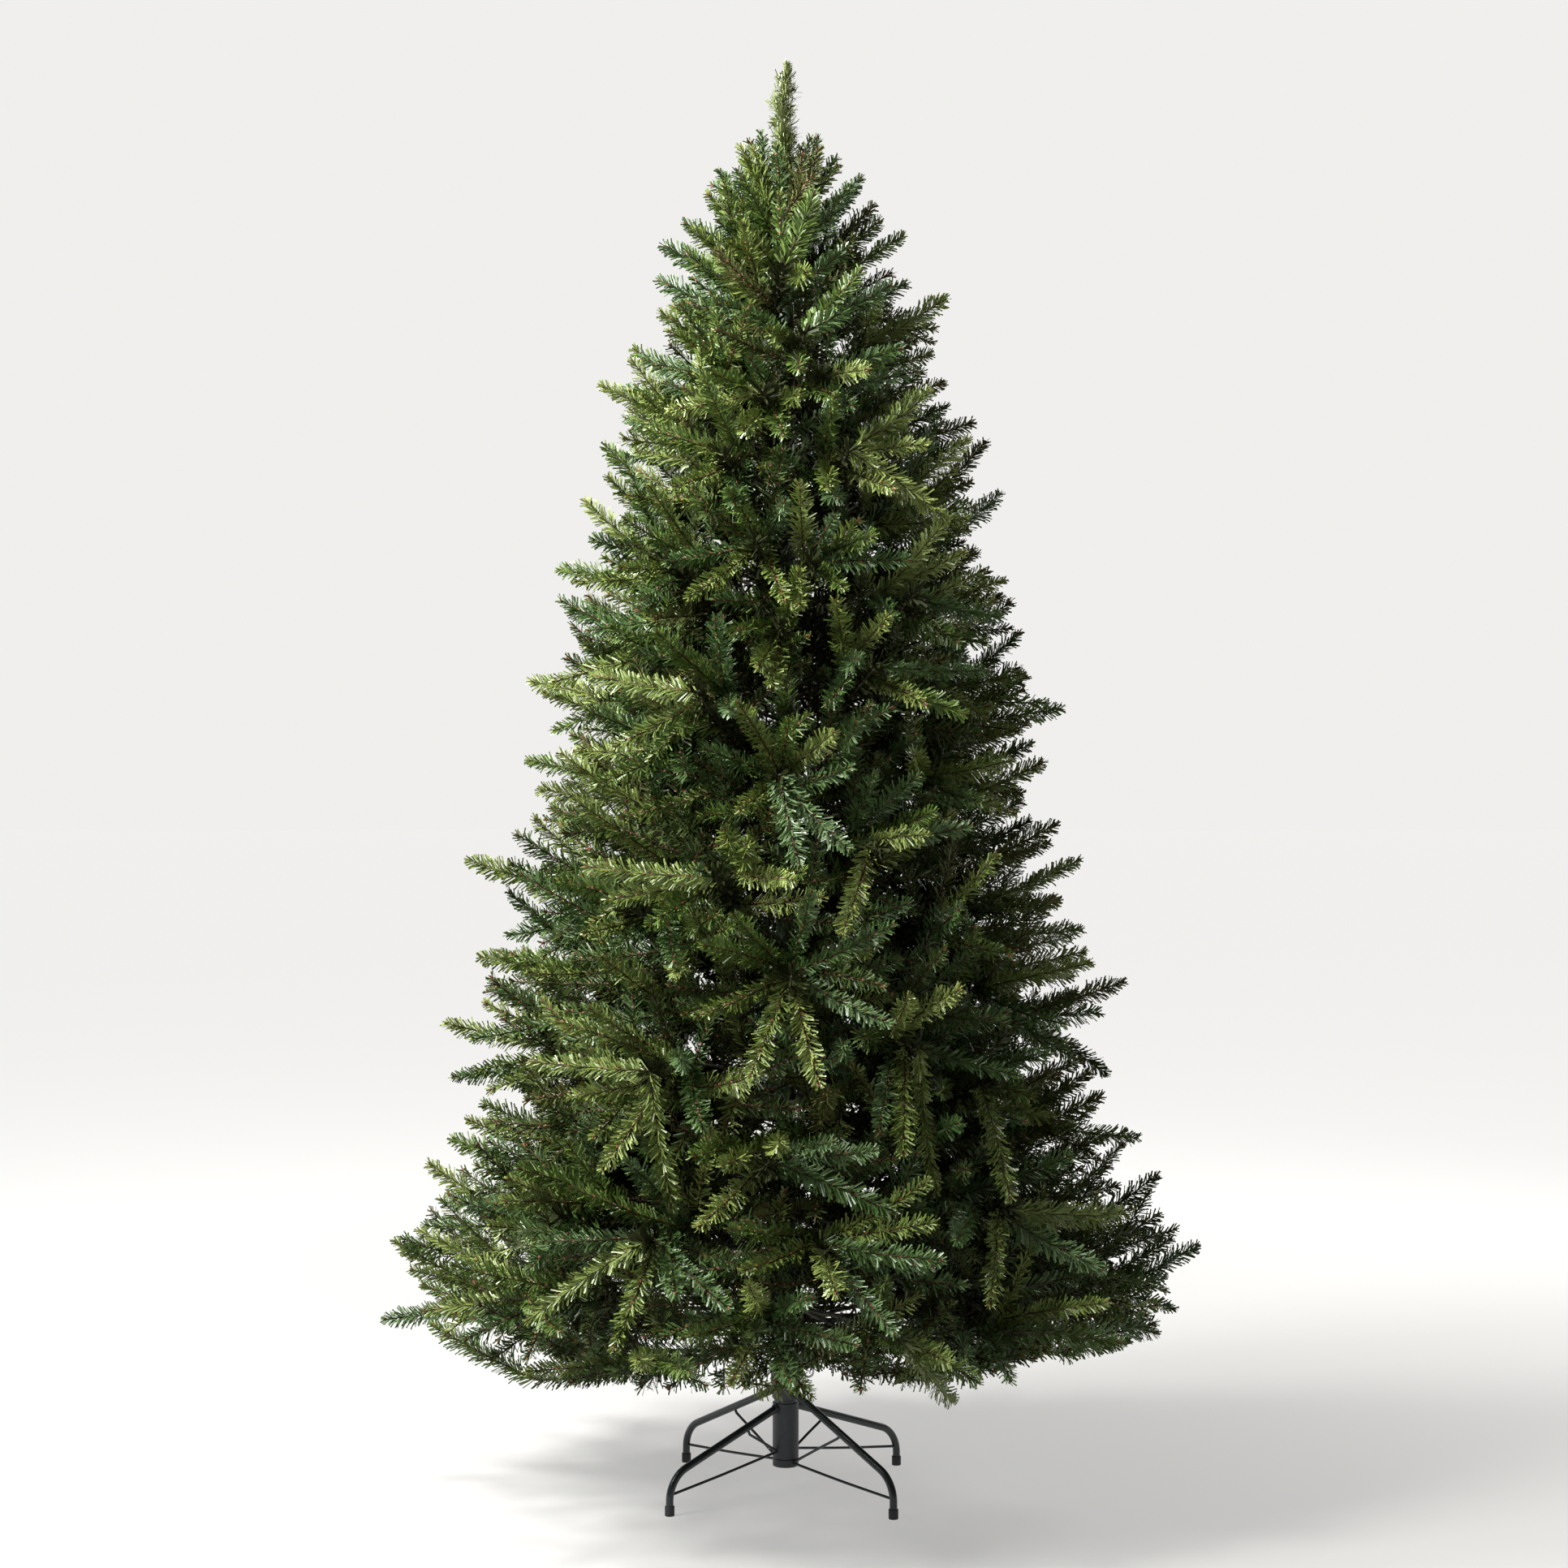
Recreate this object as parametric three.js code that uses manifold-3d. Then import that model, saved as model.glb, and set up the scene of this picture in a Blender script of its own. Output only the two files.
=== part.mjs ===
// Artificial spruce tree on a folding metal stand.
// Millimetres, +Z up, ground at z = 0, pole axis on Z, front of the tree towards -Y.
import * as THREE from 'three';
import Module from 'manifold-3d';

const wasm = await Module();
wasm.setup();

// ---------------------------------------------------------------- sizes
const GAP = 0.3;                 // between faces that touch

const POLE = { r: 15, foot: 48, top: 1950 };
// pole sections: [z of the top, radius]
const POLE_SECTIONS = [[760, 15], [1380, 14], [1830, 12.5]];
const POLE_TIP_R = 4;

const STAND_TUBE = { r: 17, z0: 47.6, z1: 157.5 };
const BOTTOM_COLLAR = { r: 19.25, z0: 35.5, z1: 47.3 };
const SWIVEL = { r: 19.25, z0: 47.7, z1: 129.5 };
const UPPER = { r: 19.25, z0: 135.4, z1: 154.3, lipR: 22, lipZ0: 158, lipZ1: 179.3, mouthR: 19.6 };

const LEG_R = 5.5;
const LEG_BEND = 45;
const FOOT = { r: 7, h: 14, floor: 3 };
// azimuth, pole axis to foot, height where the leg leaves its collar, slope, and its brace: elbow's
// upper and lower height, end of the upper arm [r, z], height of the lower end
const LEGS = [
  { name: 'front_right', az: -48, reach: 228.5, z: 146.5, slope: 0.446, elbow: [46, 41.5], arm: [113, 94.5], low: 28 },
  { name: 'back_left', az: 132, reach: 228, z: 146.5, slope: 0.446, elbow: [46, 41.5], arm: [110, 94.5], low: 28 },
  { name: 'front_left', az: -137.3, reach: 225, z: 122.5, slope: 0.3385, elbow: [62.5, 57.5], arm: [71, 91.5], low: 29.5 },
  { name: 'back_right', az: 41.6, reach: 227, z: 122.5, slope: 0.3385, elbow: [62.5, 57.5], arm: [71, 91.5], low: 29.5 },
];
const BRACE_R = 2;
const EYE = { x: 33, z: 174, ring: 8, wire: 1.6, shank: 2 };

// crown outline: height, reach to the left (-X), reach to the right (+X)
const OUTLINE = [
  [190, 350, 370], [225, 470, 480], [250, 548, 545], [285, 590, 574], [370, 578, 606],
  [440, 530, 552], [590, 482, 470], [700, 500, 462], [760, 440, 494], [930, 464, 434], [1045, 358, 362], [1140, 352, 404],
  [1200, 374, 356], [1365, 332, 324], [1480, 294, 317], [1545, 268, 296], [1640, 268, 238],
  [1760, 182, 228], [1860, 152, 168], [1950, 102, 114], [2016, 46, 54],
];
const CROWN_TOP = 2104;

// foliage tiers, from the ground up: lower limit z = z0 + slope * r, number of masses, turn of the
// first one, inner radius, columns and rows of each mass's face
const TIERS = [
  { z0: 188, slope: 0.105, n: 6, turn: 8, inner: 120, cols: 11, rows: 6 },
  { z0: 335, slope: 0.145, n: 5, turn: 38, inner: 110, cols: 11, rows: 6 },
  { z0: 545, slope: 0.20, n: 5, turn: 12, inner: 92, cols: 9, rows: 6 },
  { z0: 790, slope: 0.27, n: 5, turn: 50, inner: 76, cols: 9, rows: 6 },
  { z0: 1050, slope: 0.36, n: 4, turn: 20, inner: 58, cols: 9, rows: 6 },
  { z0: 1320, slope: 0.50, n: 3, turn: 65, inner: 44, cols: 9, rows: 6 },
];
const TOP_TIER = { z0: 1610, slope: 0.75, n: 2, turn: 15, inner: 27, cols: 11, rows: 7 };
const TOP_LIMIT = { z0: 1815, slope: 3.75 };
const TIER_GAP = 7;              // air between tiers, each side
const SECTOR_GAP = 3.5;          // air between neighbours, each side
const VALLEY = [0.80, 0.88];     // how deep the face sinks between its tips
const TIP = [0.95, 1.02];
const BOUGH = { r0: 6, r1: 4, sides: 8 };

// ---------------------------------------------------------------- helpers
const rad = (d) => (d * Math.PI) / 180;

function random(seed) {
  let a = seed >>> 0;
  return () => {
    a = (a + 0x6d2b79f5) >>> 0;
    let t = a;
    t = Math.imul(t ^ (t >>> 15), t | 1);
    t ^= t + Math.imul(t ^ (t >>> 7), t | 61);
    return ((t ^ (t >>> 14)) >>> 0) / 4294967296;
  };
}

function solidFrom(points, triangles) {
  const g = new THREE.BufferGeometry();
  g.setAttribute('position', new THREE.Float32BufferAttribute(points.flat(), 3));
  g.setIndex(triangles.flat());
  return g;
}

function toManifold(geometry) {
  const g = geometry.clone();
  g.deleteAttribute('normal');
  g.deleteAttribute('uv');
  const weld = new Map();
  const pos = g.getAttribute('position');
  const verts = [];
  const ids = [];
  for (let i = 0; i < pos.count; i += 1) {
    const p = [pos.getX(i), pos.getY(i), pos.getZ(i)];
    const key = p.map((v) => Math.round(v * 1e4)).join();
    if (!weld.has(key)) {
      weld.set(key, verts.length / 3);
      verts.push(...p);
    }
    ids.push(weld.get(key));
  }
  const index = g.getIndex() ? Array.from(g.getIndex().array) : ids.map((_, i) => i);
  const tris = [];
  for (let i = 0; i < index.length; i += 3) {
    const t = [ids[index[i]], ids[index[i + 1]], ids[index[i + 2]]];
    if (t[0] !== t[1] && t[1] !== t[2] && t[0] !== t[2]) tris.push(...t);
  }
  return new wasm.Manifold(new wasm.Mesh({
    numProp: 3, vertProperties: new Float32Array(verts), triVerts: new Uint32Array(tris),
  }));
}

function fromManifold(m) {
  const mesh = m.getMesh();
  const g = new THREE.BufferGeometry();
  const p = [];
  for (let i = 0; i < mesh.vertProperties.length; i += mesh.numProp) {
    p.push(mesh.vertProperties[i], mesh.vertProperties[i + 1], mesh.vertProperties[i + 2]);
  }
  g.setAttribute('position', new THREE.Float32BufferAttribute(p, 3));
  g.setIndex(Array.from(mesh.triVerts));
  return g;
}

// a body of revolution about Z from [radius, z] pairs that close on themselves
function turned(profile, sides) {
  const loop = profile.map(([r, z]) => new THREE.Vector2(r, z));
  const g = new THREE.LatheGeometry([...loop, loop[0].clone()], sides);
  g.rotateX(Math.PI / 2);
  const m = toManifold(g);
  if (m.volume() > 0) return m;
  return toManifold(flip(g));
}

function flip(g) {
  const i = Array.from(g.getIndex().array);
  for (let k = 0; k < i.length; k += 3) [i[k], i[k + 1]] = [i[k + 1], i[k]];
  const out = g.clone();
  out.setIndex(i);
  return out;
}

// a round bar of changing radius along a path that lies in the upright plane at azimuth az
function bar(path, radii, sides, az) {
  const side = new THREE.Vector3(-Math.sin(rad(az)), Math.cos(rad(az)), 0);
  const points = path.map(([r, z]) => new THREE.Vector3(r * Math.cos(rad(az)), r * Math.sin(rad(az)), z));
  const verts = [];
  const tris = [];
  points.forEach((p, i) => {
    const a = points[Math.max(i - 1, 0)];
    const b = points[Math.min(i + 1, points.length - 1)];
    const t = b.clone().sub(a).normalize();
    const n = new THREE.Vector3().crossVectors(side, t).normalize();
    for (let k = 0; k < sides; k += 1) {
      const w = (2 * Math.PI * k) / sides;
      const q = p.clone().addScaledVector(n, Math.cos(w) * radii[i]).addScaledVector(side, Math.sin(w) * radii[i]);
      verts.push([q.x, q.y, q.z]);
    }
  });
  for (let i = 0; i + 1 < points.length; i += 1) {
    for (let k = 0; k < sides; k += 1) {
      const l = (k + 1) % sides;
      tris.push([i * sides + k, i * sides + l, (i + 1) * sides + k], [i * sides + l, (i + 1) * sides + l, (i + 1) * sides + k]);
    }
  }
  const end = (points.length - 1) * sides;
  for (let k = 1; k + 1 < sides; k += 1) {
    tris.push([0, k + 1, k], [end, end + k, end + k + 1]);
  }
  const g = solidFrom(verts, tris);
  const m = toManifold(g);
  return m.volume() > 0 ? m : toManifold(flip(g));
}

// ---------------------------------------------------------------- crown outline
function reach(theta, z) {
  const rows = OUTLINE;
  let k = 0;
  while (k < rows.length - 2 && z > rows[k + 1][0]) k += 1;
  const [z0, l0, r0] = rows[k];
  const [z1, l1, r1] = rows[k + 1];
  const t = Math.min(Math.max((z - z0) / (z1 - z0), 0), 1);
  const left = l0 + (l1 - l0) * t;
  const right = r0 + (r1 - r0) * t;
  return (left + right) / 2 + ((right - left) / 2) * Math.cos(theta);
}

// where the outline meets the cone z = z0 + slope * r
function meet(theta, z0, slope, share = 1) {
  let lo = 0;
  let hi = 700;
  for (let i = 0; i < 40; i += 1) {
    const r = (lo + hi) / 2;
    if (r < share * reach(theta, z0 + slope * r)) lo = r; else hi = r;
  }
  return (lo + hi) / 2;
}

// one uneven mass between two cones and two upright planes through the pole's axis
function mass({ from, to, low, high, inner, cols, rows, seed, belly = 0 }) {
  const rnd = random(seed);
  const span = (a) => a[0] + (a[1] - a[0]) * rnd();
  const verts = [];
  const tris = [];
  const angles = [];
  for (let i = 0; i < cols; i += 1) {
    const edge = i === 0 || i === cols - 1;
    const shift = edge || i === (cols - 1) / 2 ? 0 : (rnd() - 0.5) * 0.4;
    angles.push(from + ((to - from) * (i + shift)) / (cols - 1));
  }
  // the sector's edges stand back by a fixed width, so their angle changes with radius
  const place = (i, r, z) => {
    let theta = angles[i];
    const back = Math.asin(Math.min(SECTOR_GAP / r, 0.5));
    if (i === 0) theta += back;
    if (i === cols - 1) theta -= back;
    verts.push([r * Math.cos(theta), r * Math.sin(theta), z]);
    return verts.length - 1;
  };
  const face = [];
  for (let i = 0; i < cols; i += 1) {
    const theta = angles[i];
    const edge = i === 0 || i === cols - 1;
    const column = [];
    const ends = [low, high].map((c, which) => {
      const tip = (i + which * (rows - 1)) % 2 === 1 && !edge;
      const share = edge ? 0.74 + 0.08 * rnd() : span(tip ? [0.90, 0.97] : VALLEY);
      const r = meet(theta, c.z0, c.slope, share);
      return [r, c.z0 + c.slope * r];
    });
    for (let j = 0; j < rows; j += 1) {
      if (j === 0) column.push(ends[0]);
      else if (j === rows - 1) column.push(ends[1]);
      else {
        const tip = (i + j) % 2 === 1 && !edge;
        const t = (j + (rnd() - 0.5) * 0.3) / (rows - 1);
        const z = ends[0][1] + (ends[1][1] - ends[0][1]) * t;
        const share = edge ? 0.74 + 0.08 * rnd() : span(tip ? TIP : VALLEY);
        column.push([share * reach(theta, z), z]);
      }
    }
    face.push(column);
  }
  const outer = face.map((column, i) => column.map(([r, z]) => place(i, r, z)));
  const bottomIn = angles.map((_, i) => place(i, inner, low.z0 + low.slope * inner));
  const topIn = angles.map((_, i) => place(i, inner, high.z0 + high.slope * inner));
  // underside: with a belly, one ring of hanging tips between the pole and the rim
  const belt = belly > 0
    ? angles.map((_, i) => {
      const edge = i === 0 || i === cols - 1;
      const r = inner + (face[i][0][0] - inner) * (0.52 + (edge ? 0 : 0.16 * (rnd() - 0.5)));
      const drop = edge ? 0.2 * belly : (i % 2 === 1 ? belly * (0.6 + 0.4 * rnd()) : belly * 0.15 * rnd());
      return [r, low.z0 + low.slope * r - drop];
    }).map(([r, z], i) => place(i, r, z))
    : null;
  const quad = (a, b, c, d) => tris.push([a, b, c], [a, c, d]);
  for (let i = 0; i + 1 < cols; i += 1) {
    for (let j = 0; j + 1 < rows; j += 1) {
      const a = outer[i][j];
      const b = outer[i + 1][j];
      const c = outer[i + 1][j + 1];
      const d = outer[i][j + 1];
      if ((i + j) % 2 === 0) quad(a, b, c, d); else quad(b, c, d, a);
    }
    quad(bottomIn[i + 1], bottomIn[i], topIn[i], topIn[i + 1]);
    quad(outer[i][rows - 1], outer[i + 1][rows - 1], topIn[i + 1], topIn[i]);
    if (belt) {
      quad(belt[i], bottomIn[i], bottomIn[i + 1], belt[i + 1]);
      quad(outer[i][0], belt[i], belt[i + 1], outer[i + 1][0]);
    } else {
      quad(outer[i][0], bottomIn[i], bottomIn[i + 1], outer[i + 1][0]);
    }
  }
  // the two flat sides
  [0, cols - 1].forEach((i) => {
    const ring = [bottomIn[i], ...(belt ? [belt[i]] : []), ...outer[i], topIn[i]];
    const flat = ring.map((v) => new THREE.Vector2(Math.hypot(verts[v][0], verts[v][1]), verts[v][2]));
    THREE.ShapeUtils.triangulateShape(flat, []).forEach(([a, b, c]) => {
      const up = (flat[b].x - flat[a].x) * (flat[c].y - flat[a].y) - (flat[b].y - flat[a].y) * (flat[c].x - flat[a].x) > 0;
      const out = i === 0 ? up : !up;
      tris.push(out ? [ring[a], ring[b], ring[c]] : [ring[a], ring[c], ring[b]]);
    });
  });
  const g = solidFrom(verts, tris);
  return g;
}

// the leader: a lumpy spindle round the pole's upward line
function leader(z0, z1, r, sides, rows, seed) {
  const rnd = random(seed);
  const verts = [];
  const tris = [];
  for (let j = 0; j < rows; j += 1) {
    const t = j / (rows - 1);
    const body = j === rows - 1 ? 0.45 : 0.9 - 0.18 * (j === 0);
    for (let k = 0; k < sides; k += 1) {
      const w = (2 * Math.PI * (k + 0.5 * (j % 2))) / sides;
      const q = r * body * (0.86 + 0.24 * rnd());
      verts.push([q * Math.cos(w), q * Math.sin(w), z0 + (z1 - z0) * t * 0.96]);
    }
  }
  const foot = verts.length;
  verts.push([0, 0, z0]);
  const tip = verts.length;
  verts.push([0, 0, z1]);
  for (let j = 0; j + 1 < rows; j += 1) {
    for (let k = 0; k < sides; k += 1) {
      const l = (k + 1) % sides;
      const a = j * sides + k;
      const b = j * sides + l;
      const c = (j + 1) * sides + l;
      const d = (j + 1) * sides + k;
      if (j % 2 === 0) tris.push([a, b, d], [b, c, d]); else tris.push([a, b, c], [a, c, d]);
    }
  }
  for (let k = 0; k < sides; k += 1) {
    const l = (k + 1) % sides;
    tris.push([foot, l, k], [tip, (rows - 1) * sides + k, (rows - 1) * sides + l]);
  }
  return solidFrom(verts, tris);
}

// ---------------------------------------------------------------- materials
const paint = (hex, roughness, metalness) => new THREE.MeshStandardMaterial({ color: hex, roughness, metalness });
const M = {
  pole: paint(0x2c3a2a, 0.5, 0.3),
  stand: paint(0x3b3d41, 0.42, 0.6),
  leg: paint(0x23292a, 0.35, 0.6),
  plastic: paint(0x3e3e41, 0.6, 0),
  foot: paint(0x2e2e30, 0.7, 0),
  steel: paint(0xb4b6b8, 0.3, 1),
  bough: paint(0x39422a, 0.7, 0),
  light: paint(0x66763a, 0.9, 0),
  mid: paint(0x4b5c30, 0.9, 0),
  dark: paint(0x37492e, 0.9, 0),
};

const tree = new THREE.Group();
tree.name = 'artificial_spruce_tree';
function add(name, shape, material) {
  const geometry = shape.isBufferGeometry ? shape : fromManifold(shape);
  geometry.computeVertexNormals();
  const mesh = new THREE.Mesh(geometry, material);
  mesh.name = name;
  tree.add(mesh);
}

// ---------------------------------------------------------------- pole and stand
{
  const p = [[0, POLE.foot], [POLE.r, POLE.foot]];
  let r = POLE.r;
  POLE_SECTIONS.forEach(([z, radius], i) => {
    if (i > 0) p.push([radius, p[p.length - 1][1] + 3]);
    p.push([radius, z]);
    r = radius;
  });
  p.push([r * 0.6, POLE_SECTIONS[POLE_SECTIONS.length - 1][0] + 10], [POLE_TIP_R, POLE.top], [0, POLE.top]);
  add('trunk_pole', turned(p, 20), M.pole);
}

const ringProfile = (inner, outer, z0, z1, ease = 0.8) => [
  [inner, z0], [outer - ease, z0], [outer, z0 + ease], [outer, z1 - ease], [outer - ease, z1], [inner, z1],
];
add('stand_tube', turned([
  [POLE.r + GAP, STAND_TUBE.z0], [STAND_TUBE.r, STAND_TUBE.z0], [STAND_TUBE.r, STAND_TUBE.z1], [POLE.r + GAP, STAND_TUBE.z1],
], 24), M.stand);
add('stand_bottom_collar', turned([
  [0, BOTTOM_COLLAR.z0], [BOTTOM_COLLAR.r - 1, BOTTOM_COLLAR.z0], [BOTTOM_COLLAR.r, BOTTOM_COLLAR.z0 + 1],
  [BOTTOM_COLLAR.r, BOTTOM_COLLAR.z1 - 0.6], [BOTTOM_COLLAR.r - 0.6, BOTTOM_COLLAR.z1], [0, BOTTOM_COLLAR.z1],
], 24), M.stand);
add('stand_swivel_sleeve', turned(ringProfile(STAND_TUBE.r + GAP, SWIVEL.r, SWIVEL.z0, SWIVEL.z1), 24), M.stand);

const shank = bar([[POLE.r + 0.4, EYE.z], [EYE.x - EYE.ring + 0.6, EYE.z]], [EYE.shank, EYE.shank], 10, 0);
const shankHole = bar([[POLE.r, EYE.z], [EYE.x, EYE.z]], [EYE.shank + GAP, EYE.shank + GAP], 10, 0);
add('stand_upper_collar', turned([
  [STAND_TUBE.r + GAP, UPPER.z0], [UPPER.r - 0.6, UPPER.z0], [UPPER.r, UPPER.z0 + 0.6], [UPPER.r, UPPER.z1],
  [UPPER.lipR, UPPER.lipZ0], [UPPER.lipR, UPPER.lipZ1 - 1], [UPPER.lipR - 0.8, UPPER.lipZ1],
  [UPPER.mouthR, UPPER.lipZ1], [UPPER.mouthR, UPPER.lipZ0 + 2], [STAND_TUBE.r + GAP, UPPER.lipZ0],
], 24).subtract(shankHole), M.plastic);
{
  const turns = 18;
  const ring = new THREE.TorusGeometry(EYE.ring, EYE.wire, 8, turns);
  ring.rotateX(Math.PI / 2);
  ring.translate(EYE.x, 0, EYE.z);
  let eye = toManifold(ring);
  if (eye.volume() < 0) eye = toManifold(flip(ring));
  add('stand_eye_bolt', eye.add(shank), M.steel);
}

LEGS.forEach((leg) => {
  const a = Math.atan(leg.slope);
  const z = (r) => leg.z - leg.slope * (r - UPPER.r);
  const centreR = leg.reach - LEG_BEND;
  const startR = centreR + LEG_BEND * Math.sin(a);
  const centreZ = z(startR) - LEG_BEND * Math.cos(a);
  const path = [[14, z(14)]];
  const steps = 7;
  for (let i = 0; i <= steps; i += 1) {
    const w = Math.PI / 2 - a - ((Math.PI / 2 - a) * i) / steps;
    path.push([centreR + LEG_BEND * Math.cos(w), centreZ + LEG_BEND * Math.sin(w)]);
  }
  path.push([leg.reach, FOOT.floor + GAP]);
  const tube = (r) => bar(path, path.map(() => r), 12, leg.az);
  const barrel = turned([[0, 0], [UPPER.r + GAP, 0], [UPPER.r + GAP, 300], [0, 300]], 24);
  add(`leg_${leg.name}`, tube(LEG_R).subtract(barrel), M.leg);

  const cup = turned([
    [0, 0], [FOOT.r - 1.2, 0], [FOOT.r, 1.2], [FOOT.r, FOOT.h - 1], [FOOT.r - 0.7, FOOT.h],
    [LEG_R + GAP, FOOT.h], [LEG_R + GAP, FOOT.floor], [0, FOOT.floor],
  ], 16).translate([leg.reach * Math.cos(rad(leg.az)), leg.reach * Math.sin(rad(leg.az)), 0]);
  add(`foot_${leg.name}`, cup, M.foot);

  const er = UPPER.r + GAP + BRACE_R;
  const [up, down] = leg.elbow;
  const stub = (up - down) / 2;
  const root = [leg.arm[0] + 4, z(leg.arm[0] + 4)];
  const route = [
    [leg.reach, leg.low], [er + 3, down], [er + 0.6, down + 0.35 * stub], [er, (up + down) / 2],
    [er + 0.6, up - 0.35 * stub], [er + 3, up + 1], [leg.arm[0] - 2, leg.arm[1] - 1.2], [leg.arm[0] + 1, leg.arm[1] + 1.2], root,
  ];
  const wire = bar(route, route.map(() => BRACE_R), 8, leg.az).subtract(tube(LEG_R + GAP));
  add(`brace_${leg.name}`, wire, M.leg);
});

// ---------------------------------------------------------------- foliage and boughs
const all = [...TIERS, TOP_TIER];
const shades = [M.mid, M.dark, M.light];
all.forEach((tier, t) => {
  const next = t + 1 < all.length ? all[t + 1] : TOP_LIMIT;
  const low = { z0: tier.z0 + (t === 0 ? 0 : TIER_GAP), slope: tier.slope };
  const high = { z0: next.z0 - TIER_GAP, slope: next.slope };
  for (let s = 0; s < tier.n; s += 1) {
    const from = rad(tier.turn + (360 * s) / tier.n);
    const to = rad(tier.turn + (360 * (s + 1)) / tier.n);
    const name = t === TIERS.length ? `foliage_top_${s + 1}` : `foliage_tier${t + 1}_${s + 1}`;
    add(name, mass({
      from, to, low, high, inner: tier.inner, cols: tier.cols, rows: tier.rows,
      seed: 1000 * (t + 1) + 17 * s, belly: t === 0 ? 18 : 0,
    }), shades[(t + 2 * s) % 3]);
    // the main boughs of the two lowest tiers run from the pole into the middle of each mass
    if (t < 2) {
      const az = ((from + to) / 2) * (180 / Math.PI);
      const z = (tier.z0 + next.z0) / 2 + (t === 0 ? -10 : 0);
      const r0 = POLE.r + GAP;
      const r1 = tier.inner - 1;
      const rise = (tier.slope + next.slope) / 2 + 0.05;
      const tubeBarrel = turned([[0, z - 60], [r0, z - 60], [r0, z + 60], [0, z + 60]], 20);
      add(`bough_tier${t + 1}_${s + 1}`, bar([[8, z], [r1, z + rise * (r1 - 8)]], [BOUGH.r0, BOUGH.r1], BOUGH.sides, az).subtract(tubeBarrel), M.bough);
    }
  }
});
add('foliage_leader', leader(1953, CROWN_TOP, 23, 7, 7, 77), M.mid);

export default tree;
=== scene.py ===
"""Artificial spruce tree on a folding metal stand: boughs, tips and needles grown by a seeded rule."""
import math

import bpy
import numpy as np
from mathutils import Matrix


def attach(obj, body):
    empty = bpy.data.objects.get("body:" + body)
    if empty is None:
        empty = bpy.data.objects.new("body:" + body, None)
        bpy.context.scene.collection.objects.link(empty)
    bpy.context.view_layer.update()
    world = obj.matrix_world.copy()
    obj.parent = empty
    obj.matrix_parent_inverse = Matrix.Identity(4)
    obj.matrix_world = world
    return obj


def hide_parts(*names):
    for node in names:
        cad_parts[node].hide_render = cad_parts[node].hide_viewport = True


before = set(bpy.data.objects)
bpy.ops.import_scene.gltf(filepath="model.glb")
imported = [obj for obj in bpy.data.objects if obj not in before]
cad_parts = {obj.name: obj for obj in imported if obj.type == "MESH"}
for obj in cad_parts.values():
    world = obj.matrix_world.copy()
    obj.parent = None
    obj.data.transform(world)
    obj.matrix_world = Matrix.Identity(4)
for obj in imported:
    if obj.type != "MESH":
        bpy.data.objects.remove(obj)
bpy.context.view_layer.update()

rng = np.random.default_rng(20417)
shade = np.random.default_rng(77)
UP = np.array([0.0, 0.0, 1.0])

# ------------------------------------------------------------------ sizes, in metres
POLE_R = 0.015
POLE_TOP = 1.950
CROWN_TOP = 2.104
# crown outline: height, reach to the left, reach to the right
OUTLINE = np.array([
    [190, 350, 370], [225, 470, 480], [250, 548, 545], [285, 590, 574], [370, 578, 606],
    [440, 530, 552], [590, 482, 470], [700, 500, 462], [760, 440, 494], [930, 464, 434],
    [1045, 358, 362], [1140, 352, 404], [1200, 374, 356], [1365, 332, 324], [1480, 294, 317],
    [1545, 268, 296], [1640, 268, 238], [1760, 182, 228], [1860, 152, 168], [1950, 102, 114],
    [2016, 46, 54],
]) / 1000.0

NEEDLE_L = 0.0240        # full length of a needle
NEEDLE_W = 0.00208       # width of its ribbon
PITCH = 0.0042           # one turn of the twisted wire
TRIANGLES = 800_000      # for the needles of the tips


def reach(theta, z):
    left = np.interp(z, OUTLINE[:, 0], OUTLINE[:, 1])
    right = np.interp(z, OUTLINE[:, 0], OUTLINE[:, 2])
    return (left + right) / 2 + (right - left) / 2 * np.cos(theta)


def underside(r):
    """The lowest that foliage hangs at a distance from the pole."""
    return np.interp(r, [0.0, 0.12, 0.25, 0.45, 0.60], [0.195, 0.195, 0.212, 0.243, 0.262])


def unit(v):
    v = np.asarray(v, float)
    return v / np.maximum(np.linalg.norm(v, axis=-1, keepdims=True), 1e-12)


def across(v, t):
    """The part of v at right angles to t, as a unit vector."""
    w = v - (v @ t) * t
    if np.linalg.norm(w) < 1e-3:
        w = np.cross(t, [0.3, 0.8, 0.5])
    return unit(w)


# ------------------------------------------------------------------ materials
def material(name, colour, roughness=0.5, metallic=0.0, specular=0.5, coat=0.0, coat_roughness=0.2):
    m = bpy.data.materials.new(name)
    m.use_nodes = True
    b = m.node_tree.nodes["Principled BSDF"]
    b.inputs["Base Color"].default_value = (*colour, 1.0)
    b.inputs["Roughness"].default_value = roughness
    b.inputs["Metallic"].default_value = metallic
    b.inputs["Specular IOR Level"].default_value = specular
    b.inputs["Coat Weight"].default_value = coat
    b.inputs["Coat Roughness"].default_value = coat_roughness
    return m


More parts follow.
